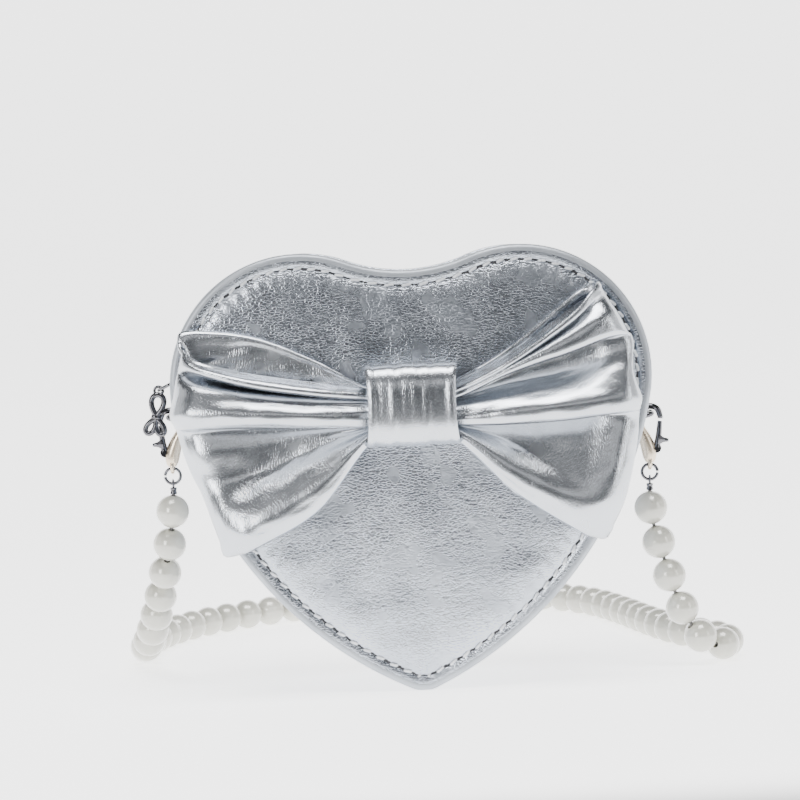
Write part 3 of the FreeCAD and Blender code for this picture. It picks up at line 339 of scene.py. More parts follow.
patch_group, patch_in, patch_out = new_group(
    "patches", [("Vector", "NodeSocketVector", None), ("Patches per metre", "NodeSocketFloat", 60.0),
                ("Low", "NodeSocketFloat", 0.0), ("High", "NodeSocketFloat", 1.0)], ["Value"])
clouds = noise(patch_group, patch_in.outputs["Vector"], patch_in.outputs["Patches per metre"], detail=1.5)
patch_range = map_range(patch_group, clouds.outputs["Fac"], PATCH_LOW, PATCH_HIGH,
                        patch_in.outputs["Low"], patch_in.outputs["High"], "LINEAR")
patch_group.links.new(patch_range, patch_out.inputs["Value"])

weave_group, weave_in, weave_out = new_group(
    "weave",
    [("Vector", "NodeSocketVector", None), ("Threads per metre", "NodeSocketFloat", 1500.0)], ["Height"])
wave_scale = math_node(weave_group, "MULTIPLY", weave_in.outputs["Threads per metre"], WAVES_PER_THREAD)
crossing = 0.0
for direction in ("X", "Y", "Z"):
    wave = weave_group.nodes.new("ShaderNodeTexWave")
    wave.bands_direction = direction
    wave.inputs["Distortion"].default_value = THREAD_WOBBLE
    weave_group.links.new(weave_in.outputs["Vector"], wave.inputs["Vector"])
    weave_group.links.new(wave_scale, wave.inputs["Scale"])
    crossing = math_node(weave_group, "MAXIMUM", crossing, wave.outputs["Fac"])
weave_group.links.new(crossing, weave_out.inputs["Height"])
print("groups", [group.name for group in bpy.data.node_groups])

# %% [markdown]
# A finish is one Principled shader. What is the same all over is set on its sockets; colour
# and roughness drift between two values with the patches, and a Bump node turns grain or
# weave into relief. The hollows of the grain can also get painted shade: a colour a little
# darker than its pebbles.
# The same function makes leather, metal, pearl, thread and cloth.


# %% Finishes
RELIEF_STRENGTH = 0.6
# Grain heights over which the painted shade of the hollows fades out
HOLLOW_HEIGHT, PEBBLE_TOP = 0.35, 1.15
DULL_PATCHES = 2.3


def patch_value(tree, place, patches, low=0.0, high=1.0):
    """Value that drifts between low and high, with a number of patches per metre."""
    item = tree.nodes.new("ShaderNodeGroup")
    item.node_tree = patch_group
    for label, given in (("Vector", place), ("Patches per metre", patches), ("Low", low), ("High", high)):
        feed(tree, given, item.inputs[label])
    return item.outputs["Value"]


def mix_colours(tree, mode, share, first, second):
    """Two colours mixed by a share; each of the three is a socket or a fixed value."""
    item = tree.nodes.new("ShaderNodeMix")
    item.data_type = "RGBA"
    item.blend_type = mode
    for index, given in ((0, share), (6, first), (7, second)):
        feed(tree, given, item.inputs[index])
    return item.outputs[2]


def relief_height(tree, place, group, scale, stretch):
    """Height that a node group makes at a scale, stretched along the three axes."""
    mapping = tree.nodes.new("ShaderNodeMapping")
    mapping.inputs["Scale"].default_value = stretch
    tree.links.new(place, mapping.inputs["Vector"])
    item = tree.nodes.new("ShaderNodeGroup")
    item.node_tree = group
    item.inputs[1].default_value = scale
    tree.links.new(mapping.outputs["Vector"], item.inputs["Vector"])
    return item.outputs[0]


def finish(name, dark, light, rough, metal=0.0, patches=60.0, relief=None, relief_scale=900.0,
           relief_depth=0.1, stretch=(1.0, 1.0, 1.0), painted_hollow_shade=1.0, **plain):
    """Principled material whose colour runs from dark to light and whose roughness runs over
    a pair of values with the patches; relief is the node group that makes its height, and
    the painted shade of the grain's hollows is the share of the colour that is left in them."""
    material = bpy.data.materials.new(name)
    material.use_nodes = True
    tree = material.node_tree
    shader = tree.nodes["Principled BSDF"]
    shader.inputs["Metallic"].default_value = metal
    for label, value in plain.items():
        shader.inputs[label.replace("_", " ")].default_value = value
    place = tree.nodes.new("ShaderNodeTexCoord").outputs["Object"]
    colour = mix_colours(tree, "MIX", patch_value(tree, place, patches), (*dark, 1.0), (*light, 1.0))
    dullness = patch_value(tree, place, DULL_PATCHES * patches, *rough)
    tree.links.new(dullness, shader.inputs["Roughness"])
    if relief:
        height = relief_height(tree, place, relief, relief_scale, stretch)
        bump = tree.nodes.new("ShaderNodeBump")
        bump.inputs["Strength"].default_value = RELIEF_STRENGTH
        bump.inputs["Distance"].default_value = relief_depth * MM
        tree.links.new(height, bump.inputs["Height"])
        tree.links.new(bump.outputs["Normal"], shader.inputs["Normal"])
        # Painted shade: the grain's hollows get a darker colour than its pebbles
        if painted_hollow_shade < 1:
            shade = map_range(tree, height, HOLLOW_HEIGHT, PEBBLE_TOP, painted_hollow_shade, 1.0)
            colour = mix_colours(tree, "MULTIPLY", 1.0, colour, shade)
    tree.links.new(colour, shader.inputs["Base Color"])
    return material


SILVER_DARK = (0.37, 0.40, 0.45)
SILVER_LIGHT = (0.52, 0.555, 0.61)
BOW_DARK = (0.51, 0.535, 0.575)
BOW_LIGHT = (0.57, 0.595, 0.63)
# Both leathers get painted shade in the hollows of their grain
leather = finish("silver_leather", SILVER_DARK, SILVER_LIGHT, (0.22, 0.30), metal=1.0, patches=45.0,
                 relief=grain_group, relief_scale=1200.0, relief_depth=0.105, stretch=(0.65, 1.0, 1.15),
                 painted_hollow_shade=0.6)
bow_leather = finish("bow_leather", BOW_DARK, BOW_LIGHT, (0.22, 0.29), metal=1.0, patches=55.0,
                     relief=grain_group, relief_scale=1250.0, relief_depth=0.04, stretch=(1.25, 1.0, 0.5),
                     painted_hollow_shade=0.78)
edge_paint = finish("edge_paint", (0.33, 0.355, 0.39), (0.43, 0.455, 0.49), (0.38, 0.5), metal=0.65,
                    patches=120.0, relief=grain_group, relief_scale=500.0, relief_depth=0.04)
thread = finish("silver_thread", (0.62, 0.64, 0.67), (0.84, 0.86, 0.88), (0.4, 0.5), metal=0.25,
                patches=900.0, relief=weave_group, relief_scale=2600.0, relief_depth=0.05)
# Needle holes: a near-black finish, the painted shade inside each hole
needle_hole_shade = finish("needle_hole_shade", (0.015, 0.015, 0.017), (0.04, 0.04, 0.045), (0.7, 0.9), patches=300.0)
gunmetal = finish("gunmetal", (0.10, 0.10, 0.11), (0.17, 0.17, 0.18), (0.10, 0.2), metal=1.0, patches=150.0)
spring_steel = finish("spring_steel", (0.30, 0.30, 0.32), (0.45, 0.45, 0.47), (0.2, 0.3), metal=1.0,
                      patches=200.0)
champagne = finish("clasp_metal", (0.66, 0.55, 0.42), (0.80, 0.69, 0.54), (0.22, 0.32), metal=0.9,
                   patches=150.0)
pearl = finish("pearl_coat", (0.47, 0.465, 0.405), (0.57, 0.56, 0.495), (0.2, 0.28), metal=0.12, patches=70.0,
               relief=patch_group, relief_scale=900.0, relief_depth=0.01,
               Coat_Weight=0.9, Coat_Roughness=0.06, Specular_IOR_Level=0.6)
string_finish = finish("strap_string", (0.10, 0.10, 0.10), (0.22, 0.21, 0.20), (0.5, 0.7), patches=400.0,
                       relief=weave_group, relief_scale=3000.0, relief_depth=0.05)
tape_cloth = finish("zip_tape", (0.035, 0.036, 0.04), (0.07, 0.072, 0.08), (0.7, 0.85), patches=90.0,
                    relief=weave_group, relief_scale=1500.0, relief_depth=0.12)
coil_plastic = finish("zip_coil", (0.05, 0.05, 0.055), (0.09, 0.09, 0.10), (0.3, 0.4), patches=200.0)
lining_cloth = finish("lining_cloth", (0.04, 0.04, 0.045), (0.07, 0.07, 0.08), (0.45, 0.6), patches=80.0,
                      relief=weave_group, relief_scale=2400.0, relief_depth=0.06, Sheen_Weight=0.3)
board = finish("stiffener", (0.30, 0.27, 0.22), (0.40, 0.36, 0.30), (0.8, 0.9), patches=120.0,
               relief=weave_group, relief_scale=900.0, relief_depth=0.03)
print("finishes", len(bpy.data.materials))

# %% [markdown]
# The heart's outline is drawn with arcs: a small flat at the tip, a tight arc beside it, a
# long side arc, a round lobe and the hollow between the lobes. One function gives it for
# every distance along the edge and every distance in from the edge, so panels, gusset,
# linings, zip and stitches all follow the same line. Moving inward keeps the arcs' centres
# and only changes their radii.

# %% Heart outline
LOBE_X, LOBE_Z, LOBE_RADIUS = 32.0, 90.5, 38.0
SIDE_RADIUS, CLEFT_RADIUS, TIP_RADIUS, TIP_HALF = 116.0, 49.0, 4.0, 1.5
LEAST_TIP_RADIUS, LEAST_TIP_HALF, TIP_FADE = 0.3, 0.2, 4.0
EDGE_STEPS, LOWER_STEPS, UPPER_STEPS = 380, 220, 240
to_lobe = SIDE_RADIUS - LOBE_RADIUS
to_tip = SIDE_RADIUS - TIP_RADIUS
tip_to_lobe = np.array([LOBE_X - TIP_HALF, LOBE_Z - TIP_RADIUS])
apart = np.linalg.norm(tip_to_lobe)
along = tip_to_lobe / apart
foot = (to_tip ** 2 - to_lobe ** 2 + apart ** 2) / (2 * apart)
side_centre = (np.array([TIP_HALF, TIP_RADIUS]) + along * foot
               + np.array([-along[1], along[0]]) * math.sqrt(to_tip ** 2 - foot ** 2))
SIDE_X, SIDE_Z = side_centre
CLEFT_Z = LOBE_Z + math.sqrt((LOBE_RADIUS + CLEFT_RADIUS) ** 2 - LOBE_X ** 2)
TIP_TURN = math.atan2(TIP_RADIUS - SIDE_Z, TIP_HALF - SIDE_X)
LOBE_TURN = math.atan2(LOBE_Z - SIDE_Z, LOBE_X - SIDE_X)
CLEFT_TURN = math.atan2(CLEFT_Z - LOBE_Z, -LOBE_X)
TIP_END = TIP_HALF + TIP_RADIUS * (TIP_TURN + math.pi / 2)
SIDE_END = TIP_END + SIDE_RADIUS * (LOBE_TURN - TIP_TURN)
LOBE_END = SIDE_END + LOBE_RADIUS * (CLEFT_TURN - LOBE_TURN)
HALF_EDGE = LOBE_END + CLEFT_RADIUS * (CLEFT_TURN - math.pi / 2)


def heart(station, inset):
    """Points and outward directions of the outline. A station is a distance along the edge
    from the tip, to the right if positive; each arc keeps its centre, its radius less the
    inset, and the share of the arc that the station has passed."""
    station, inset = np.broadcast_arrays(np.asarray(station, float), np.asarray(inset, float))
    folded = (station + HALF_EDGE) % (2 * HALF_EDGE) - HALF_EDGE
    side = np.where(folded < 0, -1.0, 1.0)
    gone = np.abs(folded)
    tip_radius = np.maximum(TIP_RADIUS - inset, LEAST_TIP_RADIUS)
    sharper = smooth_step(inset, TIP_RADIUS - LEAST_TIP_RADIUS, TIP_RADIUS + TIP_FADE)
    tip_x = TIP_HALF + (LEAST_TIP_HALF - TIP_HALF) * sharper
    tip_z = SIDE_Z - np.sqrt((SIDE_RADIUS - inset - tip_radius) ** 2 - (tip_x - SIDE_X) ** 2)
    tip_turn = np.arctan2(tip_z - SIDE_Z, tip_x - SIDE_X)
    tip_angle = -np.pi / 2 + (tip_turn + np.pi / 2) * (gone - TIP_HALF) / (TIP_END - TIP_HALF)
    side_angle = tip_turn + (LOBE_TURN - tip_turn) * (gone - TIP_END) / (SIDE_END - TIP_END)
    lobe_angle = LOBE_TURN + (gone - SIDE_END) / LOBE_RADIUS
    cleft_angle = CLEFT_TURN - np.pi - (gone - LOBE_END) / CLEFT_RADIUS
    parts = [gone < TIP_HALF, gone < TIP_END, gone < SIDE_END, gone < LOBE_END]
    angle = np.select(parts, [-np.pi / 2, tip_angle, side_angle, lobe_angle], cleft_angle)
    x = np.select(parts, [tip_x * gone / TIP_HALF, tip_x, SIDE_X, LOBE_X], 0.0)
    z = np.select(parts, [tip_z, tip_z, SIDE_Z, LOBE_Z], CLEFT_Z)
    radius = np.select(parts, [tip_radius, tip_radius, SIDE_RADIUS - inset, LOBE_RADIUS - inset],
                       CLEFT_RADIUS + inset)
    x = x + np.where(gone < TIP_HALF, 0.0, radius * np.cos(angle))
    z = z + radius * np.sin(angle)
    outward = np.where(gone < LOBE_END, 1.0, -1.0)
    return side * x, z, side * outward * np.cos(angle), outward * np.sin(angle)


def swept(profile, stations):
    """A profile of (inset, y) pairs carried along the outline: one ring per station."""
    profile = np.asarray(profile, float)
    x, z, _, _ = heart(stations[:, None], profile[None, :, 0])
    return np.stack([x, np.broadcast_to(profile[None, :, 1], x.shape), z], axis=-1)


RIGHT_DROP = math.radians(2.6)


def hung(part, side):
    """A piece drawn at the right side. The left one is its mirror image; the right one is
    turned about the side arc's centre, because the right tab is sewn on a little lower."""
    points, faces = part
    if side < 0:
        return points * np.array([-1.0, 1.0, 1.0]), faces
    out, up = points[:, 0] - SIDE_X, points[:, 2] - SIDE_Z
    x = SIDE_X + out * math.cos(RIGHT_DROP) + up * math.sin(RIGHT_DROP)
    z = SIDE_Z - out * math.sin(RIGHT_DROP) + up * math.cos(RIGHT_DROP)
    return np.stack([x, points[:, 1], z], axis=1), faces


def lobe_station(degrees):
    """Distance along the edge to a direction from the right lobe's centre."""
    return SIDE_END + LOBE_RADIUS * (math.radians(degrees) - LOBE_TURN)


ROUND = np.linspace(0, 2 * HALF_EDGE, EDGE_STEPS, endpoint=False)
LOWER_END = lobe_station(-9.77)
UPPER_END = lobe_station(-8.70)
COIL_END = lobe_station(-5.9)
LOWER_RUN = np.linspace(-LOWER_END, LOWER_END, LOWER_STEPS)
LINING_RUN = np.linspace(-UPPER_END, UPPER_END, LOWER_STEPS)
UPPER_RUN = np.linspace(UPPER_END, 2 * HALF_EDGE - UPPER_END, UPPER_STEPS)
print("edge", round(2 * HALF_EDGE, 1), "mm round, zip", round(2 * (HALF_EDGE - UPPER_END), 1), "mm")

# %% [markdown]
# The strap is a fixed length of thin string with fifty pearl beads on it. It hangs from a
# clasp at each side and lies on the floor behind the purse. Its line is one NURBS spline
# whose control points are the route of the solids. A mesh copy of that spline gives points
# that the string, the beads and the crimps follow.

# %% Strap line
STRAP_ROUTE = [
    (-72.196, 3.4, 59.5), (-73.2, 4.5, 47.8), (-77.0, 12.1, 32.4), (-81.5, 28.3, 17.9), (-86.0, 48.4, 8.0),
    (-88.5, 70.8, 5.0), (-87.0, 99.1, 5.0), (-76.0, 131.4, 5.0), (-54.0, 159.8, 5.0), (-23.0, 179.9, 5.0),
    (13.0, 185.0, 5.0), (43.0, 171.9, 5.0), (60.0, 143.6, 5.0), (68.0, 110.2, 5.0), (74.0, 77.9, 5.0),
    (81.0, 49.5, 5.0), (91.5, 31.4, 5.0), (94.0, 13.6, 5.0), (84.4, 3.6, 6.0), (77.0, 2.1, 18.9),
    (73.2, 3.0, 33.0), (69.6, 3.4, 46.3), (69.959, 3.4, 54.258)]
route_curve = bpy.data.curves.new("strap_route", "CURVE")
route_curve.dimensions = "3D"
spline = route_curve.splines.new("NURBS")
spline.points.add(len(STRAP_ROUTE) - 1)
weights = np.ones((len(STRAP_ROUTE), 1))
spline.points.foreach_set("co", np.hstack([np.array(STRAP_ROUTE) * MM, weights]).ravel())
spline.order_u = 3
spline.use_endpoint_u = True
spline.resolution_u = 20
route_object = bpy.data.objects.new("strap_route", route_curve)
route_mesh = bpy.data.meshes.new_from_object(route_object)
strap_line = np.zeros(len(route_mesh.vertices) * 3)
route_mesh.vertices.foreach_get("co", strap_line)
strap_line = strap_line.reshape(-1, 3) / MM
bpy.data.objects.remove(route_object)
bpy.data.meshes.remove(route_mesh)
strap_stations = np.concatenate([[0], np.cumsum(np.linalg.norm(np.diff(strap_line, axis=0), axis=1))])
STRAP_LENGTH = strap_stations[-1]
print("strap length", round(STRAP_LENGTH, 1), "mm")


def on_strap(station):
    """Points of the strap's line at distances along it."""
    return np.stack([np.interp(station, strap_stations, strap_line[:, axis]) for axis in range(3)], axis=-1)


# %% [markdown]
# String and beads come in a left and a right half, tied with a knot in the middle. A bead
# could be a ball with a cut, but a half circle carried round the string has its bore at
# once, and clean poles. Beads that lie on the floor are one piece for each half, and each
# hanging bead is a piece of its own.

# %% Beads and string
BEAD_RADIUS = 5.0
BEAD_BORE = 0.9
BORE_ROUNDING, BORE_DEPTH = 0.12, 0.25
BEAD_RINGS, BEAD_SIDES = 15, 24
STRING_RADIUS = 0.5
BEAD_COUNT = 50
LYING_HEIGHT = 10.0
FIRST_BEAD = 6.3
bead_stations = np.linspace(FIRST_BEAD, STRAP_LENGTH - FIRST_BEAD, BEAD_COUNT)
MIDDLE = (bead_stations[BEAD_COUNT // 2 - 1] + bead_stations[BEAD_COUNT // 2]) / 2
LEAN = {-1: (0.7, -0.7, 0.0), 1: (0.7, 0.7, 0.0)}


def bead_copies(stations, side):
    """Bead round each station: along the string by the cosine of the latitude, out from it by
    its sine, with a bore through the middle."""
    centre = on_strap(stations)
    tangent = unit(on_strap(stations + 0.5) - on_strap(stations - 0.5))
    first, second = across_path(tangent, LEAN[side])
    edge = math.asin((BEAD_BORE + BORE_ROUNDING) / BEAD_RADIUS)
    latitude = np.linspace(edge, np.pi - edge, BEAD_RINGS)
    axial = BEAD_RADIUS * np.cos(latitude)
    radial = BEAD_RADIUS * np.sin(latitude)
    axial = np.concatenate([[axial[0] - BORE_DEPTH], axial, [axial[-1] + BORE_DEPTH]])
    radial = np.concatenate([[BEAD_BORE], radial, [BEAD_BORE]])
    angle = full_turn(BEAD_SIDES)[None, :, None]
    around = np.cos(angle) * first[:, None] + np.sin(angle) * second[:, None]
    points = (centre[:, None, None] + axial[None, :, None, None] * tangent[:, None, None]
              + radial[None, :, None, None] * around[:, None])
    return repeated(points.reshape(len(stations), -1, 3), grid_faces(len(axial), BEAD_SIDES, True, True))


strap_halves = {}
for (side, name), span in zip(SIDES, ((0.0, MIDDLE), (MIDDLE, STRAP_LENGTH))):
    half_line = on_strap(np.linspace(*span, 300))
    string = make_piece(name + "_string", closed_tube(tube(half_line, STRING_RADIUS, 8, LEAN[side])),
                        string_finish)
    chosen = bead_stations[(bead_stations > span[0]) & (bead_stations < span[1])]
    lying = on_strap(chosen)[:, 2] < LYING_HEIGHT
    beads = [make_piece(name + "_pearls", bead_copies(chosen[lying], side), pearl)]
    hanging = chosen[~lying]
    for number, station in enumerate(hanging, 1):
        beads.append(make_piece(f"{name}_pearl_{number}", bead_copies(station[None], side), pearl))
    print(name, "half:", lying.sum(), "beads lie on the floor and", len(hanging), "hang")
    strap_halves[side] = (string, beads, on_strap(hanging) * MM, half_line * MM, (span[1] - span[0]) * MM)

# %% [markdown]
# Where the two halves meet there is a small knot. At the top ends a crimp holds the string:
# a loop of wire on the clasp's jump ring, and a tube pressed flat on the string.

# %% Knot and crimps
CLASP_X = 72.196
CLASP_Y = 3.4
JUMP_CENTRE = np.array([CLASP_X, CLASP_Y, 63.95])
JUMP_RADIUS = 2.3
KNOT_RADIUS, KNOT_RISE, KNOT_STRING = 0.55, 0.25, 0.3
CRIMP_LOOP, CRIMP_WIRE, CRIMP_FLATNESS = 1.1, 0.3, 0.85
CRIMP_DOWN = np.array([0.0, 0.15, 0.6, 1.05, 1.5, 1.95, 2.1])
CRIMP_RADIUS = np.array([0.75, 1.0, 1.0, 0.82, 1.0, 1.0, 0.75])
knot_place = on_strap(np.array([MIDDLE]))[0]
winding = np.linspace(0, 4 * np.pi, 40)
knot_way = unit(on_strap(np.array([MIDDLE + 1.0]))[0] - knot_place)
knot_side = unit(np.cross(knot_way, (0.0, 0.0, 1.0)))
knot_up = np.cross(knot_side, knot_way)
knot_path = (knot_place + np.outer(KNOT_RADIUS * np.cos(winding), knot_side)
             + np.outer(KNOT_RADIUS * np.sin(winding), knot_up)
             + np.outer(np.linspace(-KNOT_RISE, KNOT_RISE, len(winding)), knot_way))
string_knot = make_piece("string_knot", closed_tube(tube(knot_path, KNOT_STRING, 8, knot_way)), string_finish,
                         "bag")
loop_centre = JUMP_CENTRE - (0.0, 0.0, JUMP_RADIUS)
wire_loop = wire_ring(loop_centre, CRIMP_LOOP, (1, 0, 0), CRIMP_WIRE, 28, 8)
tube_line = loop_centre - (0.0, 0.0, CRIMP_LOOP) - np.outer(CRIMP_DOWN, (0.0, 0.0, 1.0))
sleeve = closed_tube(tube(tube_line, CRIMP_RADIUS, 16, (1, 0, 0), flatness=CRIMP_FLATNESS))
crimp_part = together([wire_loop, sleeve])
crimp_pieces = {}
for side, name in SIDES:
    crimp_pieces[side] = make_piece(name + "_crimp_wire", hung(crimp_part, side), gunmetal, None,
                                    [name + "_crimp"])

# %% [markdown]
# A bead is hard, so each hanging bead is a piece of its own. The strings, the crimps and
# the hanging beads stay where they are drawn, the beads on the floor ride on the purse,
# and the length of each half is printed.
# Both halves are declared as cords, so their real length and thickness travel with the part.

# %% Strap placed
FLOOR_BEND = 0.015
CLASP_LEAD = 0.0075
for side, name in SIDES:
    string, beads, centres, line, _ = strap_halves[side]
    hang_x, hang_y, hang_z = line[0 if side < 0 else -1]
    low = (hang_x, hang_y, FLOOR_BEND)
    high = (hang_x, hang_y, hang_z - CLASP_LEAD)
    for piece in (string, crimp_pieces[side]):
        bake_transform(piece)
    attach(beads[0], "bag")
    shares = np.clip((centres[:, 2] - low[2]) / (high[2] - low[2]), 0.0, 1.0)
    for bead, centre, share in zip(beads[1:], centres, shares):
        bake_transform(bead)
    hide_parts("strap_string")
    for bead in beads:
        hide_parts("pearl_beads")
for side, far_end, end_pieces in ((-1, "knot", [string_knot]), (1, "object", [])):
    string, beads, _, line, length = strap_halves[side]
    print("cord of", round(length / MM, 1), "mm, far end:", far_end)

# %% [markdown]
# A panel is leather over thin foam, sewn round its edge. It could be cut from a plane, but
# rings that shrink from the outline to a middle point give clean rows: a rounded rim, a
# flat border, the groove that the stitches pull, and a soft crown in the middle. Small
# sums of sines add the puckers at the stitches and a few slack dents.


# %% Panels
PANEL_MIDDLE = np.array([0.0, 0.0, 72.0])
PANEL_INSIDE = -22.65
DENT_DEPTH = 0.5
STITCH_INSET = 4.3
STITCH_PITCH = 4.6
STITCH_COUNT = round(2 * HALF_EDGE / STITCH_PITCH)


def slack(x, z, seed):
    """Dents from 0 to 1: a sum of seven sine waves of fixed but irregular directions."""
    rng = np.random.default_rng(seed)
    total = np.zeros_like(x)
    for _ in range(7):
        turn, wave, phase = rng.uniform(0, np.pi), rng.uniform(9.0, 26.0), rng.uniform(0, 2 * np.pi)
        total = total + np.sin((x * np.cos(turn) + z * np.sin(turn)) * 2 * np.pi / wave + phase)
    return 0.5 + total / 14


def panel_grid(profile, shares, level):
    """Rings of the profile's (inset, y), then rings scaled towards the middle point whose y
    follows the given levels."""
    rings = np.swapaxes(swept(profile, ROUND), 0, 1)
    last = rings[-1]
    inner = PANEL_MIDDLE + (last - PANEL_MIDDLE)[None] * shares[:, None, None]
    inner[:, :, 1] = level[:, None]
    return np.concatenate([rings, inner])


RIM = [(1.2, PANEL_INSIDE), (0.5, -22.7), (0.2, -23.0), (0.15, -23.6), (0.25, -24.3), (0.55, -24.85),
       (1.0, -25.12), (1.9, -25.2), (2.8, -25.18), (3.5, -25.05), (3.95, -24.75), (4.3, -24.6),
       (4.65, -24.7), (5.2, -25.0), (6.2, -25.35), (7.6, -25.6), (9.5, -25.8)]
CROWN_SHARES = np.array([0.97, 0.93, 0.88, 0.82, 0.75, 0.67, 0.58, 0.49, 0.4, 0.31, 0.22, 0.14, 0.07, 0.0])
CROWN_EDGE, CROWN_RISE = -25.85, 0.75
crown = CROWN_EDGE - CROWN_RISE * (1 - CROWN_SHARES ** 2)


def panel(facing, seed):
    """Closed panel: front rings with puckers and dents, joined at the rim to a flat back.
    The back of the purse is the same shape turned round."""
    front = panel_grid(RIM, CROWN_SHARES, crown)
    rows = len(RIM)
    pucker = np.zeros(len(front))
    pucker[:rows] = np.interp(np.array(RIM)[:, 0], [3.0, 4.3, 6.0, 9.5], [0.0, 0.05, 0.16, 0.0])
    wave = np.cos(2 * np.pi * ROUND / (2 * HALF_EDGE) * STITCH_COUNT)
    dents = slack(front[..., 0], front[..., 2], seed) - 0.5
    inside = smooth_step(np.arange(len(front)), 3, rows + 2)[:, None]
    front[..., 1] += pucker[:, None] * wave[None] + DENT_DEPTH * dents * inside
    back_shares = np.linspace(1.0, 0.0, 8)[1:]
    back = panel_grid([(1.2, PANEL_INSIDE), (5.0, PANEL_INSIDE)], back_shares, np.full(7, PANEL_INSIDE))[1:]
    return joined_rings(np.concatenate([back[::-1], front]) * np.array([1.0, facing, 1.0]))


for (facing, body, name), seed in zip(HALVES, (3, 8)):
    skin = make_piece(name + "_panel_skin", panel(facing, seed), leather, body,
                      [name + "_panel"])

# %% [markdown]
# The raw edge of each panel is coated with edge paint, which dries as a pale, matt bead
# that laps over the front. It is a bent section carried round the outline.

# %% Edge paint
EDGE_BEAD = np.array([(2.0, -25.22), (1.4, -25.32), (0.8, -25.18), (0.35, -24.85), (0.1, -24.35),
                      (0.0, -23.7), (0.03, -23.1), (0.2, -22.75), (0.55, -22.7), (0.7, -23.2), (0.7, -24.0),
                      (1.0, -24.6), (1.5, -24.9)])
for facing, body, name in HALVES:
    bead = EDGE_BEAD * np.array([1.0, facing])
    make_piece(name + "_edge_paint", closed_ring(swept(bead, ROUND)), edge_paint, body)

# %% [markdown]
# A lock stitch shows as a row of short, slightly slanted threads that dive into needle
# holes. Each thread is a small capsule: a ring round a short piece of the sewing line,
# thinner and deeper at its two ends. Each hole is a small dark lens on the leather, the
# painted shade of the hole. All of them are worked out at once.


# %% Stitches
THREAD_STEPS, THREAD_SIDES, HOLE_SIDES = 7, 6, 8
THREAD_SINK, THREAD_LIFT = 0.7, 0.1
HOLE_RISE = np.array([-0.26, -0.25, 0.0, 0.06, 0.08])[None, :, None, None]
HOLE_WIDE = np.array([0.0, 0.45, 0.72, 0.55, 0.001])[None, :, None, None]
HOLE_STRETCH = 1.3
HOLE_LIFT = 0.62


def stitches(starts, length, inset, level, radius, slant, above=0.25, along_y=False):
    """Threads and needle holes. Along a thread the share runs from -1 to 1; the thread sinks
    with the fourth power of the share and its radius ends in a half circle. On the strips
    the sewing line keeps its y and faces outward; on the panels it faces the front. The
    sewing line runs a little above the leather, and the holes lie on the leather."""
    share = np.linspace(-1, 1, THREAD_STEPS)
    ring = full_turn(THREAD_SIDES)
    station = starts[:, None] + share[None] * length / 2
    slim = radius * np.sqrt(1 - 0.97 * np.abs(share) ** 5)
    sink = THREAD_SINK * np.abs(share) ** 4 - THREAD_LIFT
    if along_y:
        x, z, nx, nz = heart(station, inset + sink)
        y = np.broadcast_to(level + slant * share, x.shape)
    else:
        x, z, nx, nz = heart(station, inset + slant * share)
        y = np.broadcast_to(level + np.sign(-level) * sink, x.shape)
    centre = np.stack([x, y, z], axis=-1)
    outward = np.stack([nx, np.zeros_like(nx), nz], axis=-1)
    depth = np.array([0.0, 1.0, 0.0])
    around = np.cos(ring)[:, None] * outward[:, :, None] + np.sin(ring)[:, None] * depth
    rings = centre[:, :, None] + slim[None, :, None, None] * around
    ends = np.broadcast_to(centre[:, [0, -1], None], rings[:, [0, -1]].shape)
    grid = np.concatenate([ends[:, :1], rings, ends[:, 1:]], axis=1)
    thread_faces = grid_faces(grid.shape[1], THREAD_SIDES, wrap_columns=True)
    threads = repeated(grid.reshape(len(starts), -1, 3), thread_faces)
    face = outward if along_y else np.sign(level) * np.broadcast_to(depth, outward.shape)
    along_edge = np.cross(outward, depth)
    across = np.cross(face, along_edge)
    turn = full_turn(HOLE_SIDES)[None, None, :, None]
    hole_points = []
    for end in (0, -1):
        out, way, aside = (vectors[:, end][:, None, None] for vectors in (face, along_edge, across))
        middle = centre[:, end][:, None, None] + (HOLE_LIFT - above) * out
        oval = HOLE_STRETCH * np.cos(turn) * way + np.sin(turn) * aside
        hole = middle + HOLE_RISE * out + HOLE_WIDE * oval
        hole_points.append(hole.reshape(len(starts), -1, 3))
    hole_faces = grid_faces(HOLE_RISE.size, HOLE_SIDES, wrap_columns=True)
    holes = repeated(np.concatenate(hole_points), hole_faces)
    return threads, holes


panel_starts = (np.arange(STITCH_COUNT) + 0.5) * 2 * HALF_EDGE / STITCH_COUNT
for facing, body, name in HALVES:
    threads, holes = stitches(panel_starts, length=3.1, inset=STITCH_INSET, level=-24.85 * facing,
                              radius=0.42, slant=0.3)
    make_piece(name + "_stitches", threads, thread, body)
    make_piece(name + "_needle_holes", holes, needle_hole_shade, body)

# %% [markdown]
# Between the panels runs the gusset: a wall set in from the edge, with seam edges that stand
# out to the panels. It is one profile carried along the lower part of the outline. The
# leather sags in a little between its two seams.


# %% Lower gusset
def at_inset(inset, run):
    """Points of a section at one inset, or at one for each, for a run of y values."""
    return np.stack([np.broadcast_to(inset, run.shape), run], axis=1)


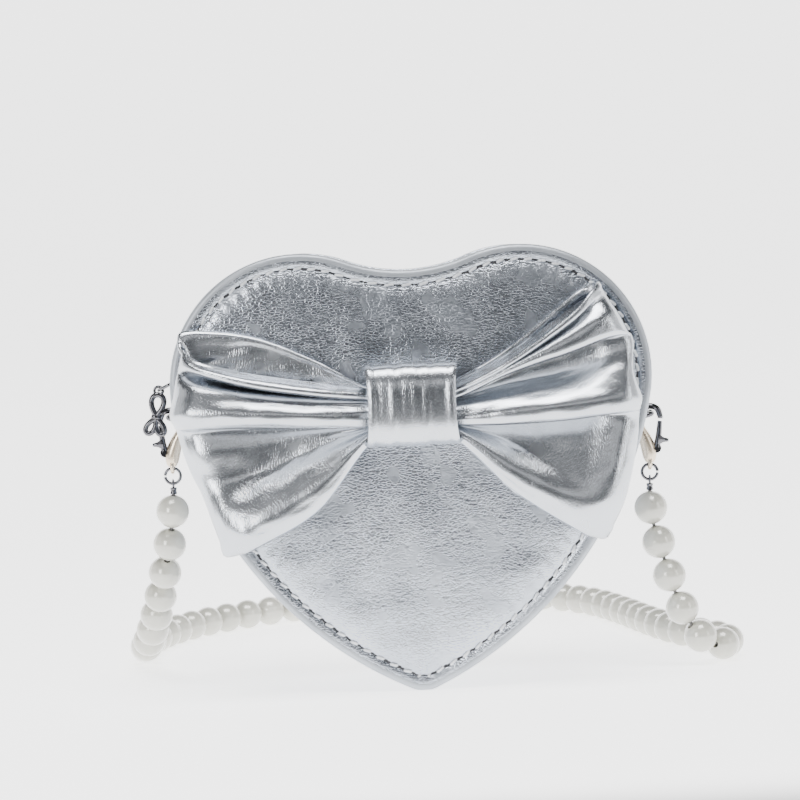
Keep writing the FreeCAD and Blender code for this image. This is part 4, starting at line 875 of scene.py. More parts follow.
SEAM_EDGE = [(0.3, -22.6), (0.06, -22.35), (0.0, -22.0), (0.06, -21.65), (0.3, -21.42), (2.5, -21.4),
             (4.2, -21.34), (4.8, -21.05)]
WALL_OUTSIDE, WALL_INSIDE = 5.0, 6.2
wall = np.linspace(-20.4, 20.4, 25)
hollow = 0.28 * np.cos(np.pi * wall / 44) * smooth_step(np.abs(wall), 5.0, 11.0)
seam_back = [(inset, -y) for inset, y in SEAM_EDGE[::-1]]
gusset_profile = np.concatenate([SEAM_EDGE, at_inset(WALL_OUTSIDE + hollow, wall), seam_back,
                                 [(2.5, 22.6), (5.6, 22.6), (WALL_INSIDE, 21.4)],
                                 at_inset(WALL_INSIDE + hollow, wall[::-1]),
                                 [(WALL_INSIDE, -21.4), (5.6, -22.6), (2.5, -22.6)]])
gusset = make_piece("lower_gusset_leather", closed_tube(swept(gusset_profile, LOWER_RUN)), leather,
                    None, ["lower_gusset"])
lining_wall = np.linspace(-20.7, 20.7, 19)
lining_profile = np.concatenate([at_inset(6.6, lining_wall), at_inset(7.1, lining_wall[::-1])])
gusset_lining = make_piece("gusset_lining_cloth", closed_tube(swept(lining_profile, LINING_RUN)),
                           lining_cloth, None, ["gusset_lining"])
for piece in (gusset, gusset_lining):
    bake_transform(piece)

# %% [markdown]
# Over the top the gusset is split by the zip: on each side a leather strip, a woven tape
# under it and a row of nylon coil. The strip's edge is folded over and sewn.


# %% Zip strips, tapes and coils
COIL_PITCH, COIL_WIRE, COIL_STEPS = 1.3, 0.29, 12
COIL_INSET, COIL_MIDDLE = 5.5, 3.4
COIL_HALF_HEIGHT, COIL_HALF_WIDTH = 0.5, 0.8
ZIP_STITCH, ZIP_STITCH_PITCH = 2.6, 3.6


def strip_profile(facing):
    """Section of a zip strip: seam edge, wall, and the folded edge beside the zip."""
    run = np.linspace(-20.4, -8.6, 8)
    fold = [(4.95, -8.4), (5.12, -8.1), (4.95, -7.8), (4.85, -7.2), (4.95, -6.75), (5.3, -6.5),
            (5.8, -6.52), (6.15, -6.8)]
    inside = [(WALL_INSIDE, -8.5), (WALL_INSIDE, -14.5), (WALL_INSIDE, -21.4), (5.6, -22.6), (2.5, -22.6)]
    shape = np.concatenate([SEAM_EDGE, at_inset(WALL_OUTSIDE, run), fold, inside])
    return shape * np.array([1.0, facing])


def tape_profile(facing):
    """Section of a zip tape: a thin flat band."""
    run = np.linspace(-14.2, -2.4, 9)
    shape = np.concatenate([at_inset(6.32, run), at_inset(6.85, run[::-1])])
    return shape * np.array([1.0, facing])


def coil(facing):
    """A wire wound in flat turns: inset and y go round an oval while the station advances by
    one pitch a turn."""
    length = 2 * (HALF_EDGE - COIL_END)
    turns = round(length / COIL_PITCH)
    share = np.linspace(0, 1, turns * COIL_STEPS + 1)
    angle = 2 * np.pi * turns * share
    x, z, nx, nz = heart(COIL_END + share * length, COIL_INSET + COIL_HALF_HEIGHT * np.cos(angle))
    path = np.stack([x, facing * (-COIL_MIDDLE + COIL_HALF_WIDTH * np.sin(angle)), z], axis=-1)
    return closed_tube(tube(path, COIL_WIRE, 5, np.stack([nx, np.zeros_like(nx), nz], axis=-1)))


strip_starts = np.arange(UPPER_END + 4.0, 2 * HALF_EDGE - UPPER_END - 3.0, ZIP_STITCH_PITCH)
zip_pieces = {}
for facing, _, name in HALVES:
    strip = make_piece(name + "_zip_leather", closed_tube(swept(strip_profile(facing), UPPER_RUN)), leather,
                       None, [name + "_zip_strip"])
    tape = make_piece(name + "_zip_cloth", closed_tube(swept(tape_profile(facing), UPPER_RUN)), tape_cloth,
                      None, [name + "_zip_tape"])
    row = make_piece(name + "_zip_row", coil(facing), coil_plastic, None, [name + "_zip_coil"])
    threads, holes = stitches(strip_starts, length=ZIP_STITCH, inset=5.12, level=-8.1 * facing,
                              radius=0.3, slant=0.0, above=0.0, along_y=True)
    sewing = make_piece(name + "_zip_stitches", threads, thread)
    piercing = make_piece(name + "_zip_needle_holes", holes, needle_hole_shade)
    zip_pieces[name] = (strip, tape, row, sewing, piercing)
for piece in zip_pieces["front"]:
    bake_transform(piece)
for piece in zip_pieces["back"]:
    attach(piece, "bag")

# %% [markdown]
# Inside, a thin cloth lines each panel. It is cut a little large, so it lies in soft waves.

# %% Panel linings
LINING_OUTSIDE, LINING_INSIDE, LINING_INSET = -21.35, -20.85, 7.2
WAVE_HEIGHT = 0.9
lining_shares = np.linspace(1.0, 0.0, 16)[1:]


def flat_rings(level):
    """Rings of a flat lining at one y, from its edge to its middle point."""
    return panel_grid([(LINING_INSET, level)], lining_shares, np.full(len(lining_shares), level))


for facing, body, name in HALVES:
    inside = flat_rings(LINING_INSIDE)
    waves = slack(inside[..., 0], inside[..., 2], 21) * smooth_step(np.arange(len(inside)), 0, 4)[:, None]
    inside[..., 1] += WAVE_HEIGHT * waves
    grid = np.concatenate([flat_rings(LINING_OUTSIDE)[::-1], inside]) * np.array([1.0, facing, 1.0])
    cloth = make_piece(name + "_lining_cloth", joined_rings(grid), lining_cloth, body,
                       [name + "_lining"])

# %% [markdown]
# Each loop of the bow is one strip of leather that leaves the knot, runs out along the
# front, turns round and comes back behind. Its folds run lengthwise: a lip, creases, a
# sharp ridge, a valley. They are written down as lines from top to bottom. Each line gives
# its height and its distance in front of the panel at four places on the way out, and the
# turn at its end. Cubics through the lines, both ways, make the smooth surface between them.

# %% Folds of the bow
KNOT_HEIGHT = 84.0
OUT_PLACES = (13.0, 28.0, 46.0)
LEFT_FOLDS = [
    ((88.3, 8.6), (91.0, 10.6), (94.4, 11.0), (59.6, 98.0, 10.0), (64.6, 101.6)),
    ((87.9, 10.2), (90.3, 13.2), (93.6, 13.8), (60.0, 97.2, 12.0), (65.2, 100.4)),
    ((86.9, 11.4), (88.9, 15.0), (92.2, 15.8), (60.3, 96.2, 13.2), (65.6, 98.8)),
    ((86.2, 10.4), (88.1, 13.4), (91.3, 14.0), (60.5, 95.4, 11.4), (66.0, 97.6)),
    ((85.8, 6.4), (87.5, 5.8), (90.3, 5.6), (60.8, 93.6, 6.4), (66.6, 95.6)),
    ((85.2, 9.8), (86.7, 11.6), (88.9, 12.2), (61.4, 91.8, 10.8), (67.2, 93.0)),
    ((83.3, 11.0), (84.7, 13.2), (86.2, 14.1), (62.2, 88.8, 12.6), (67.9, 89.0)),
    ((80.8, 12.2), (81.9, 14.9), (83.1, 15.7), (64.0, 83.9, 13.9), (69.2, 83.8)),
    ((78.6, 10.6), (79.2, 13.2), (80.2, 13.6), (62.6, 80.4, 12.0), (68.2, 80.6)),
    ((78.3, 7.4), (78.6, 6.8), (79.4, 6.6), (61.6, 79.4, 8.2), (67.7, 79.4)),
    ((78.0, 6.8), (77.8, 6.1), (77.8, 5.9), (61.0, 77.8, 7.2), (67.2, 77.4)),
    ((77.7, 6.9), (76.4, 6.6), (73.2, 6.8), (59.8, 72.6, 8.2), (65.9, 72.2)),
    ((77.3, 7.2), (73.8, 7.0), (67.2, 7.0), (58.8, 65.6, 7.6), (63.9, 66.2)),
    ((76.6, 8.0), (71.4, 7.8), (63.6, 8.2), (57.2, 60.8, 8.6), (61.4, 61.0)),
    ((75.6, 9.4), (67.0, 10.8), (57.8, 12.0), (55.0, 54.0, 11.2), (58.9, 53.6)),
    ((74.6, 10.4), (61.0, 13.2), (50.8, 14.0), (53.0, 48.4, 12.0), (57.0, 47.8)),
    ((73.4, 9.2), (54.8, 11.6), (45.0, 11.6), (51.5, 43.0, 9.6), (55.4, 42.2))]
RIGHT_FOLDS = [
    ((87.6, 10.6), (94.8, 12.8), (106.8, 12.4), (52.2, 113.6, 10.4), (54.4, 116.4)),
    ((87.2, 11.0), (94.1, 13.4), (105.6, 13.0), (53.0, 112.0, 10.9), (55.8, 114.2)),
    ((86.9, 9.4), (93.5, 10.6), (104.2, 10.8), (53.8, 110.4, 10.0), (57.0, 112.0)),
    ((86.4, 11.2), (92.9, 13.6), (101.6, 14.0), (56.2, 106.6, 12.2), (60.0, 107.0)),
    ((85.8, 10.6), (91.9, 12.6), (97.4, 13.6), (58.8, 101.9, 11.4), (62.8, 101.2)),
    ((86.0, 7.0), (92.2, 6.8), (97.7, 6.9), (60.2, 101.5, 8.2), (63.6, 100.6)),
    ((85.5, 6.2), (91.2, 5.9), (96.3, 6.0), (60.7, 100.2, 7.4), (64.0, 99.6)),
    ((84.6, 6.5), (88.4, 6.2), (92.2, 6.4), (61.2, 97.0, 7.8), (64.2, 98.0)),
    ((83.8, 8.6), (86.6, 8.6), (89.4, 8.2), (61.4, 93.6, 9.0), (63.4, 94.4)),
    ((82.2, 10.4), (84.2, 11.8), (85.8, 11.7), (61.4, 89.4, 10.8), (63.2, 90.4)),
    ((79.6, 12.0), (80.7, 14.2), (82.0, 14.4), (61.6, 83.2, 12.8), (65.6, 83.4)),
    ((78.0, 10.8), (77.6, 12.8), (78.2, 12.8), (60.8, 79.8, 11.8), (65.2, 80.2)),
    ((77.8, 7.4), (77.8, 6.6), (78.5, 6.2), (60.4, 79.2, 8.8), (65.0, 79.0)),
    ((77.5, 6.8), (76.8, 6.0), (76.8, 5.7), (60.0, 77.2, 8.0), (64.7, 76.6)),
    ((77.2, 7.0), (74.6, 6.8), (70.4, 7.8), (59.6, 73.0, 8.8), (64.3, 72.4)),
    ((76.8, 7.4), (71.8, 7.8), (63.8, 10.0), (58.4, 67.2, 10.0), (63.3, 67.2)),
    ((76.2, 9.0), (69.6, 9.2), (60.0, 11.4), (57.2, 61.4, 11.4), (61.9, 61.2)),
    ((75.2, 10.6), (65.0, 12.2), (54.4, 13.0), (55.4, 53.4, 12.0), (59.6, 53.6)),
    ((74.2, 10.2), (61.2, 12.3), (49.4, 12.1), (52.8, 47.6, 10.4), (56.6, 47.4)),
    ((73.4, 9.0), (58.0, 10.6), (45.6, 9.4), (50.5, 43.4, 8.0), (53.6, 42.4))]
LEFT_BACK = ([(13.0, 89.6), (28.0, 98.0), (46.0, 105.4), (65.2, 107.6)],
             [(13.0, 74.5), (28.0, 57.0), (46.0, 47.5), (50.5, 45.0)])
RIGHT_BACK = ([(13.0, 90.6), (28.0, 98.4), (46.0, 111.9), (52.0, 115.6)],
              [(13.0, 74.5), (28.0, 57.0), (46.0, 47.5), (50.5, 45.0)])
BACK_DEPTHS = (4.4, 3.2, 2.7, 2.7)
print("fold lines", len(LEFT_FOLDS), len(RIGHT_FOLDS))

# %% [markdown]
# The fold lines are the rows of a net. Points under the knot band close it in the middle, and
# a plain back layer brings it home behind the front. A cloth simulation would round the sharp
# folds off, so the net is smoothed as it is, and gathers and wrinkles are added as small
# sums of sines. The smooth surface then gets the leather's thickness and turned-over edges.


# %% Bow loops
GATHER_PLACE, GATHER_SHARE, GATHER_DEPTH = 5.0, 0.8, 0.9
TURN_DEPTH, TURN_IN = 0.55, 0.055
GATHER_WAVES, GATHER_HEIGHT, WRINKLE_HEIGHT = (7, 11, 17), 0.3, 0.5
LOOP_THICKNESS, LOOP_HEM, LOOP_HEM_SHARE, LOOP_EDGE_SHARE = 1.1, 0.7, 0.045, 0.008
PANEL_FACE = -25.0
BOW_LOOPS = [(-1, "left", LEFT_FOLDS, LEFT_BACK, 5), (1, "right", RIGHT_FOLDS, RIGHT_BACK, 12)]


def under_band(column, depth_share):
    """A column of the net drawn in under the knot band."""
    place = np.full(len(column), GATHER_PLACE)
    height = KNOT_HEIGHT + GATHER_SHARE * (column[:, 1] - KNOT_HEIGHT)
    return np.stack([place, height, depth_share * column[:, 2]], axis=-1)[:, None]


def loop_net(folds, back):
    """Net of control points, lines by places: under the band, three places out, the turn
    begun, the outermost point, then the way back behind, and under the band again. The back
    layer's heights run evenly between its top and bottom edge."""
    share = np.linspace(0, 1, len(folds))[:, None]
    front = np.array([[(x, *fold[step]) for step, x in enumerate(OUT_PLACES)] for fold in folds])
    begun = np.array([fold[3] for fold in folds])[:, None]
    end = np.array([(*fold[4], 0.0) for fold in folds])[:, None]
    end[:, :, 2] = TURN_DEPTH * begun[:, :, 2]
    top, bottom = (np.array(edge) for edge in back)
    behind = top[None] * (1 - share[:, :, None]) + bottom[None] * share[:, :, None]
    behind = np.concatenate([behind, np.broadcast_to(BACK_DEPTHS, behind.shape[:2])[..., None]], axis=-1)
    turned = behind[:, 3].copy()
    turned[:, :2] = end[:, 0, :2] - TURN_IN * (end[:, 0, :2] - np.array([0.0, KNOT_HEIGHT]))
    turned[0, :2] = top[3]
    turned[-1, :2] = bottom[3]
    behind[:, 3] = turned
    return np.concatenate([under_band(front[:, 0], GATHER_DEPTH), front, begun, end, behind[:, ::-1],
                           under_band(behind[:, 0], 1.0)], axis=1)


def loop_surface(net, side, seed):
    """Points of a loop's middle surface, lines by places: cubics through the net both ways,
    with fine gathers that fade out from the knot and small slack wrinkles."""
    surface = smooth_line(smooth_line(net, 12, axis=1), 6, axis=0)
    lines, places = surface.shape[:2]
    across = np.linspace(0, 1, lines)[:, None]
    out = np.linspace(0, 1, places)[None]
    fade = 1 - smooth_step(surface[..., 0], 12.0, 30.0)
    rng = np.random.default_rng(seed)
    gathers = np.zeros((lines, 1))
    for count in GATHER_WAVES:
        gathers = gathers + np.sin(2 * np.pi * count * across + rng.uniform(0, 6)) / 3
    front = 1 - smooth_step(out, 0.42, 0.55)
    surface[..., 2] += GATHER_HEIGHT * gathers * fade * front * smooth_step(surface[..., 0], 4.0, 9.0)
    wrinkles = slack(surface[..., 0] * 1.3, surface[..., 1] * 2.0 + 9 * surface[..., 2], seed + 1) - 0.5
    surface[..., 2] += WRINKLE_HEIGHT * wrinkles * front * smooth_step(surface[..., 0], 14.0, 24.0)
    crinkles = slack(surface[..., 0] * 2.0, surface[..., 1] * 5.0, seed + 2) - 0.5
    surface[..., 2] += WRINKLE_HEIGHT * crinkles * (1 - front) * smooth_step(surface[..., 0], 14.0, 24.0)
    x, z, depth = np.moveaxis(surface, -1, 0)
    return np.stack([side * x, PANEL_FACE - depth, z], axis=-1)


def thick_strip(surface, thickness, hem, hem_width):
    """Leather of a given thickness round a middle surface. The two long edges are turned
    over, so they are thicker for the width of a hem, in shares of the strip."""
    normal = unit(np.cross(np.gradient(surface, axis=0), np.gradient(surface, axis=1)))
    across = np.linspace(0, 1, len(surface))
    edge = np.minimum(across, 1 - across)
    folded = 1 - smooth_step(edge, 0.75 * hem_width, hem_width)
    half = (thickness + hem * folded) / 2 * np.sqrt(np.clip(edge / LOOP_EDGE_SHARE, 0.1, 1))
    offset = half[:, None, None] * normal
    section = np.concatenate([surface + offset, (surface - offset)[::-1]], axis=0)
    return closed_tube(np.swapaxes(section, 0, 1))


for side, name, folds, back, seed in BOW_LOOPS:
    surface = loop_surface(loop_net(folds, back), side, seed)
    strip_part = thick_strip(surface, LOOP_THICKNESS, LOOP_HEM, LOOP_HEM_SHARE)
    loop = make_piece("bow_" + name + "_leather", strip_part, bow_leather, "front",
                      ["bow_" + name + "_loop"], sharp=70.0)
    length = np.linalg.norm(np.diff(surface, axis=1), axis=2).sum(axis=1).max()

# %% [markdown]
# The knot is a broad band wrapped round the gathered middle. Its long edges are turned
# over, which leaves a low double ridge left and right. The section across the band is
# carried round a soft rounded rectangle.


# %% Knot band
BAND_STEPS, BAND_COLUMNS, BAND_POWER = 96, 33, 2 / 3.0
BAND_MIDDLE, BAND_DEPTH, BAND_HEIGHT = -34.7, 7.0, 10.6
BAND_HALF_WIDTH, BAND_WAIST = 13.0, 0.5


def knot_band():
    """Rings across the band, carried round a superellipse of depth and height. The offset
    from it is a hem at the edges and a few wrinkles that run along the band."""
    turn = full_turn(BAND_STEPS)[:, None]
    across = np.linspace(-1, 1, BAND_COLUMNS)
    ring_y = toward_square(np.cos(turn), BAND_POWER)
    ring_z = toward_square(np.sin(turn), BAND_POWER)
    hem = 0.45 * (smooth_step(np.abs(across), 0.80, 0.86) - 0.75 * smooth_step(np.abs(across), 0.95, 1.0))
    seam = -0.22 * np.exp(-((np.abs(across) - 0.78) / 0.025) ** 2)
    bulge = 0.5 * np.cos(np.pi * across / 2)
    rng = np.random.default_rng(31)
    wrinkle = np.zeros((BAND_STEPS, BAND_COLUMNS))
    for waves in (3, 5, 8):
        sway = 1.1 * np.sin(2 * turn + rng.uniform(0, 6))
        wrinkle = wrinkle + np.sin(waves * np.pi * across + sway + rng.uniform(0, 6))
    offset = hem + seam + bulge + 0.09 * wrinkle * (1 - np.abs(across) ** 6)
    half_width = BAND_HALF_WIDTH - BAND_WAIST * np.cos(turn * 2)
    rings = []
    for lift, narrowing, direction in ((1.0, 1.0, 1), (0.0, 0.985, -1)):
        depth = BAND_DEPTH + lift * (1.0 + offset)
        height = BAND_HEIGHT + lift * (0.9 + offset)
        grid = np.stack([half_width * (across * narrowing), BAND_MIDDLE - depth * ring_y,
                         KNOT_HEIGHT + height * ring_z], axis=-1)
        rings.append(grid[:, ::direction])
    return closed_ring(np.concatenate(rings, axis=1))


band = make_piece("bow_knot_leather", knot_band(), bow_leather, "front", ["bow_knot_band"],
                  sharp=60.0)

# %% [markdown]
# Under the band the two loops are gathered into one bundle. Only its ends show, so it is a
# plain oval carried across, with small pleats.


# %% Gathered core
CORE_HALF_LENGTH, CORE_DEPTH, CORE_HEIGHT = 12.5, 6.0, 8.6
CORE_Y, CORE_Z = -33.6, 82.5
CORE_PLEATS, PLEAT_SHARE = 14, 0.05


def gathered_core():
    """Ovals carried across, whose radii swell in the middle and carry a sine wave of pleats."""
    turn = full_turn(72)
    x = np.linspace(-CORE_HALF_LENGTH, CORE_HALF_LENGTH, 21)
    swell = 0.9 + 0.1 * np.cos(np.pi * x / (2 * CORE_HALF_LENGTH))
    pleat = 1 + PLEAT_SHARE * np.sin(CORE_PLEATS * turn)
    y = CORE_Y - CORE_DEPTH * swell[:, None] * pleat[None] * np.cos(turn)[None]
    z = CORE_Z + CORE_HEIGHT * swell[:, None] * pleat[None] * np.sin(turn)[None]
    return closed_tube(np.stack([np.broadcast_to(x[:, None], y.shape), y, z], axis=-1))


core = make_piece("bow_gathered_core", gathered_core(), bow_leather, "front", ["bow_core"])

# %% [markdown]
# The slider is a small cast shell: a curved cap with two side lips, a foot under the zip
# joined by a post, and an arch on top for the pull. All of it bends round the left lobe's
# centre, so it is drawn in polar coordinates of that centre.


# %% Zip slider
SLIDER_START, SLIDER_END = 166.7, 185.3
SLIDER_TOP = 34.5
LIP_PLACE = 5.15
ARCH_RADIUS, ARCH_WIRE, ARCH_FOOT = 3.0, 0.6, 0.15
ARCH_TURN = math.radians(176)


def polar_block(low, high, half_width, start, end, swell=0.0, narrow=0.0, steps=14):
    """A block between two radii, two angles and two widths about the left lobe's centre; its
    top swells in the middle and it may narrow toward its end."""
    angle = np.radians(np.linspace(start, end, steps))
    share = np.linspace(-1, 1, steps)
    width = half_width * (1 - narrow * smooth_step(share, -1, 1)) * (1 - 0.12 * share ** 8)
    across = np.linspace(-1, 1, 9)
    top = high + swell * (1 - share[:, None] ** 4) * (1 - across[None] ** 4) - 0.25 * across[None] ** 8
    bottom = np.full_like(top, low)
    radius = np.concatenate([top, bottom], axis=1)
    y = width[:, None] * np.concatenate([across, across[::-1]])[None]
    x = -LOBE_X + radius * np.cos(angle)[:, None]
    z = LOBE_Z + radius * np.sin(angle)[:, None]
    return closed_tube(np.stack([x, y, z], axis=-1))


def side_lip(side):
    """Lip of the cap that reaches down beside the coil."""
    points, faces = polar_block(32.0, 33.9, 0.42, 167.5, 184.5)
    return points + np.array([0.0, side * LIP_PLACE, 0.0]), faces


arch_out = np.array([math.cos(ARCH_TURN), 0.0, math.sin(ARCH_TURN)])
arch_up = np.array([-arch_out[2], 0.0, arch_out[0]])
arch_middle = np.array([-LOBE_X, 0.0, LOBE_Z]) + SLIDER_TOP * arch_out
half_turn = np.linspace(0, np.pi, 24)
arch_line = np.outer(np.cos(half_turn), arch_up) + np.outer(np.sin(half_turn), arch_out)
arch_wire = ARCH_WIRE + ARCH_FOOT * np.cos(half_turn) ** 4
slider_part = together([
    polar_block(33.6, SLIDER_TOP, 5.5, SLIDER_START, SLIDER_END, swell=0.35, narrow=0.18),
    side_lip(-1), side_lip(1),
    polar_block(29.6, 30.7, 5.3, SLIDER_START, SLIDER_END, narrow=0.2),
    polar_block(30.3, 34.0, 0.75, 166.8, 172.3),
    closed_tube(tube(arch_middle + ARCH_RADIUS * arch_line, arch_wire, 12, (0, 1, 0)))])
make_piece("zip_slider_shell", slider_part, gunmetal, "zip_slider", ["zip_slider"])

# %% [markdown]
# The pull is a small cast ribbon bow on a wire link: an eye, a broad loop, a knot and two
# lower loops. Each loop is a flat ribbon carried round a teardrop, so light runs along it.

# %% Zip pull
LINK_CENTRE = np.array([-71.56, 0.0, 91.47])
LINK_ANGLE = math.radians(205)
LINK_RADIUS, LINK_WIRE = 3.7, 0.5
LINK_WAY = np.array([math.cos(LINK_ANGLE), 0.0, math.sin(LINK_ANGLE)])
LINK_AXIS = np.array([-LINK_WAY[2], 0.0, LINK_WAY[0]])
PULL_DOWN = np.array([-0.139, 0.0, -0.990])
PULL_SIDE = np.array([0.990, 0.0, -0.139])
link_part = wire_ring(LINK_CENTRE, LINK_RADIUS, LINK_AXIS, LINK_WIRE, 48, 12)
make_piece("zip_pull_wire", link_part, gunmetal, "zip_pull", ["zip_pull_link"])


def ribbon_loop(start, way, length, half_width, thick, wide):
    """A ribbon carried round a teardrop: out from the start along a direction by half of one
    minus a cosine, aside by a sine times the root of that share; its section is an oval."""
    turn = np.linspace(0.12, 2 * np.pi - 0.12, 30)
    out = (1 - np.cos(turn)) / 2
    aside = np.sin(turn) * np.sqrt(out) * 1.05
    side = np.array([way[2], 0.0, -way[0]])
    path = start + np.outer(out * length, way) + np.outer(aside * half_width, side)
    return closed_tube(tube(path, wide, 12, (0, 1, 0), flatness=thick / wide))


def turned(way, degrees):
    """A direction in the plane of the pull, turned toward the pull's side."""
    angle = math.radians(degrees)
    return math.cos(angle) * way + math.sin(angle) * PULL_SIDE


PULL_EYE = np.array([-74.95, 0.0, 89.71])
PULL_KNOT = np.array([-76.05, 0.0, 81.89])
TAIL_SPREAD = 26
eye_part = wire_ring(PULL_EYE, 1.25, (0, 1, 0), 0.45, 28, 10)
knot_turn = np.linspace(0, np.pi, 9)
knot_line = PULL_KNOT + np.outer(-1.5 * np.cos(knot_turn), PULL_SIDE)
knot_part = closed_tube(tube(knot_line, 0.35 + 0.75 * np.sin(knot_turn), 14, (0, 1, 0)))
tails = [ribbon_loop(PULL_KNOT + 0.3 * PULL_DOWN, turned(PULL_DOWN, lean), 5.2, 1.5, 0.8, 1.0)
         for lean in (TAIL_SPREAD, -TAIL_SPREAD)]
top_loop = ribbon_loop(PULL_KNOT - 0.3 * PULL_DOWN, -PULL_DOWN, 6.4, 2.3, 0.85, 1.0)
make_piece("zip_pull_ribbon", together([eye_part, knot_part, top_loop, *tails]), gunmetal,
           "zip_pull", ["zip_pull_bow"])

# %% [markdown]
# At each side a folded leather tab holds a wire ring, and the clasp's hook hangs in it.
# The tab is a flat strap over the gusset with a roll at its top; the ring is a rounded
# rectangle of wire that runs through the roll.

# %% Tabs and rings
FOLD_X, FOLD_Z = 65.416, 80.0
RING_OUT_X, RING_OUT_Z = 72.196, 81.8
RING_WIRE, RING_HALF_WIDTH, RING_POWER = 0.8, 6.4, 2 / 5.0
ROLL_RADIUS = 1.8
TAB_TOP, TAB_LENGTH, TAB_HALF_WIDTH = 79.0, 13.0, 5.0
TAB_INSETS = (3.3, 4.9)


def tab_part():
    """The tab, for the right side: an open roll round the ring's bar, then two layers down
    the gusset. The section is carried across the tab's width with rounded edges."""
    down = np.linspace(0.0, 1.0, 12)[1:]
    turn = np.radians(np.linspace(-60, 190, 16))
    roll = np.stack([FOLD_X + ROLL_RADIUS * np.cos(turn), FOLD_Z + ROLL_RADIUS * np.sin(turn)], axis=1)
    heights = TAB_TOP - TAB_LENGTH * down
    layers = []
    for inset in TAB_INSETS:
        reach = np.sqrt((SIDE_RADIUS - inset) ** 2 - (heights - SIDE_Z) ** 2)
        lobe_reach = np.sqrt(np.clip((LOBE_RADIUS - inset) ** 2 - (heights - LOBE_Z) ** 2, 0, None))
        turn_height = LOBE_Z + (LOBE_RADIUS - inset) * math.sin(LOBE_TURN)
        x = np.where(heights > turn_height, LOBE_X + lobe_reach, SIDE_X + reach)
        layers.append(np.stack([x, heights], axis=1))
    section = np.concatenate([layers[0][::-1], roll, layers[1]])
    across = np.linspace(-1, 1, 13)
    squeeze = 1 - 0.06 * across ** 8
    middle = section.mean(axis=0)
    rings = []
    for share, shrink in zip(across, squeeze):
        flat = middle + (section - middle) * shrink
        rings.append(np.stack([flat[:, 0], np.full(len(flat), TAB_HALF_WIDTH * share), flat[:, 1]], axis=1))
    return closed_tube(np.stack(rings))


def ring_part():
    """The side ring: wire round a rectangle with round corners in the plane of its two bars."""
    turn = full_turn(64)
    inner = np.array([FOLD_X, 0.0, FOLD_Z])
    outer = np.array([RING_OUT_X, 0.0, RING_OUT_Z])
    share = 0.5 + 0.5 * toward_square(np.cos(turn), RING_POWER)
    wide = RING_HALF_WIDTH * toward_square(np.sin(turn), RING_POWER)
    path = inner + np.outer(share, outer - inner) + np.outer(wide, (0.0, 1.0, 0.0))
    flat = unit(np.cross(outer - inner, (0.0, 1.0, 0.0)))
    return closed_ring(tube(path, RING_WIRE, 12, flat, closed=True))


for side, name in SIDES:
    make_piece(name + "_tab_leather", hung(tab_part(), side), leather, "bag",
               [name + "_tab"])
    make_piece(name + "_ring_wire", hung(ring_part(), side), gunmetal, "bag",
               [name + "_side_ring"])

# %% [markdown]
# The lobster clasp has an eye, a swollen body and a hook that bends over. The body is pale
# and the hook dark, so they are two pieces with two finishes. Each is a flattened tube whose
# width and thickness change along its path. The trigger is a bar on a pin that closes the
# hook, with a thumb nub. A jump ring with a small cut hangs in the eye.

# %% Clasps
BODY_PATH = [(72.2, 66.8), (72.2, 68.2), (71.9, 70.6), (70.8, 73.8), (69.6, 76.6), (69.2, 78.4)]
BODY_WIDE = [1.2, 1.9, 2.2, 1.9, 1.35, 1.0]
BODY_THICK = [0.9, 1.5, 1.75, 1.75, 1.65, 1.5]
HOOK_PATH = [(69.4, 77.2), (69.1, 79.2), (69.3, 81.2), (70.3, 82.9), (72.2, 83.6), (74.3, 82.8), (75.2, 80.6),
             (75.2, 79.9)]
HOOK_WIDE = [0.9, 0.98, 0.96, 0.95, 0.92, 0.92, 0.85, 0.7]
HOOK_THICK = [1.3, 1.5, 1.45, 1.4, 1.3, 1.3, 1.25, 1.1]
TRIGGER_LINE = [(74.2, 71.0), (74.7, 74.0), (75.0, 77.0), (75.15, 79.2)]
HUB_RADIUS = np.array([1.3, 1.45, 1.45, 1.45, 1.3])
HUB_HALF = 0.8
NUB_RADIUS = np.array([1.9, 1.7, 1.35, 1.0, 0.75, 0.65, 0.6, 0.35])
EYE_HEIGHT, EYE_RADIUS, EYE_WIRE = 66.6, 1.5, 0.6
JUMP_WIRE = 0.45


def in_clasp(line):
    """Points of the clasp's middle plane from their x and z."""
    return np.array([(x, CLASP_Y, z) for x, z in line])


def cast_bar(line, wide, thick):
    """Ovals along a bent line; their width lies in the plane of the hook and their thickness
    across it."""
    path = smooth_line(in_clasp(line), 6)
    wide = smooth_line(np.array(wide), 6)
    thick = smooth_line(np.array(thick), 6)
    tangent = unit(np.gradient(path, axis=0))
    side = np.stack([tangent[:, 2], np.zeros_like(wide), -tangent[:, 0]], axis=1)
    turn = full_turn(20)[None, :, None]
    return closed_tube(path[:, None] + wide[:, None, None] * np.cos(turn) * side[:, None]
                       + thick[:, None, None] * np.sin(turn) * np.array([0.0, 1.0, 0.0]))


def trigger_part():
    """The trigger: a tapering bar from the pin up to the hook's end, a hub, and a nub with a
    round end."""
    bar = smooth_line(in_clasp(TRIGGER_LINE), 5)
    bar_rings = tube(bar, np.linspace(1.1, 0.7, len(bar)), 12, (0, 1, 0), flatness=0.95)
    hub = bar[0] + np.outer(np.linspace(-HUB_HALF, HUB_HALF, len(HUB_RADIUS)), (0.0, 1.0, 0.0))
    hub_rings = tube(hub, HUB_RADIUS, 20, (0, 0, 1))
    nub_start = np.array([74.6, CLASP_Y, 73.6])
    nub = nub_start + np.outer(np.linspace(0, 1, len(NUB_RADIUS)), (3.2, 0.0, -0.2))
    nub_rings = tube(nub, NUB_RADIUS, 14, (0, 1, 0))
    return together([closed_tube(bar_rings), closed_tube(hub_rings), closed_tube(nub_rings)])


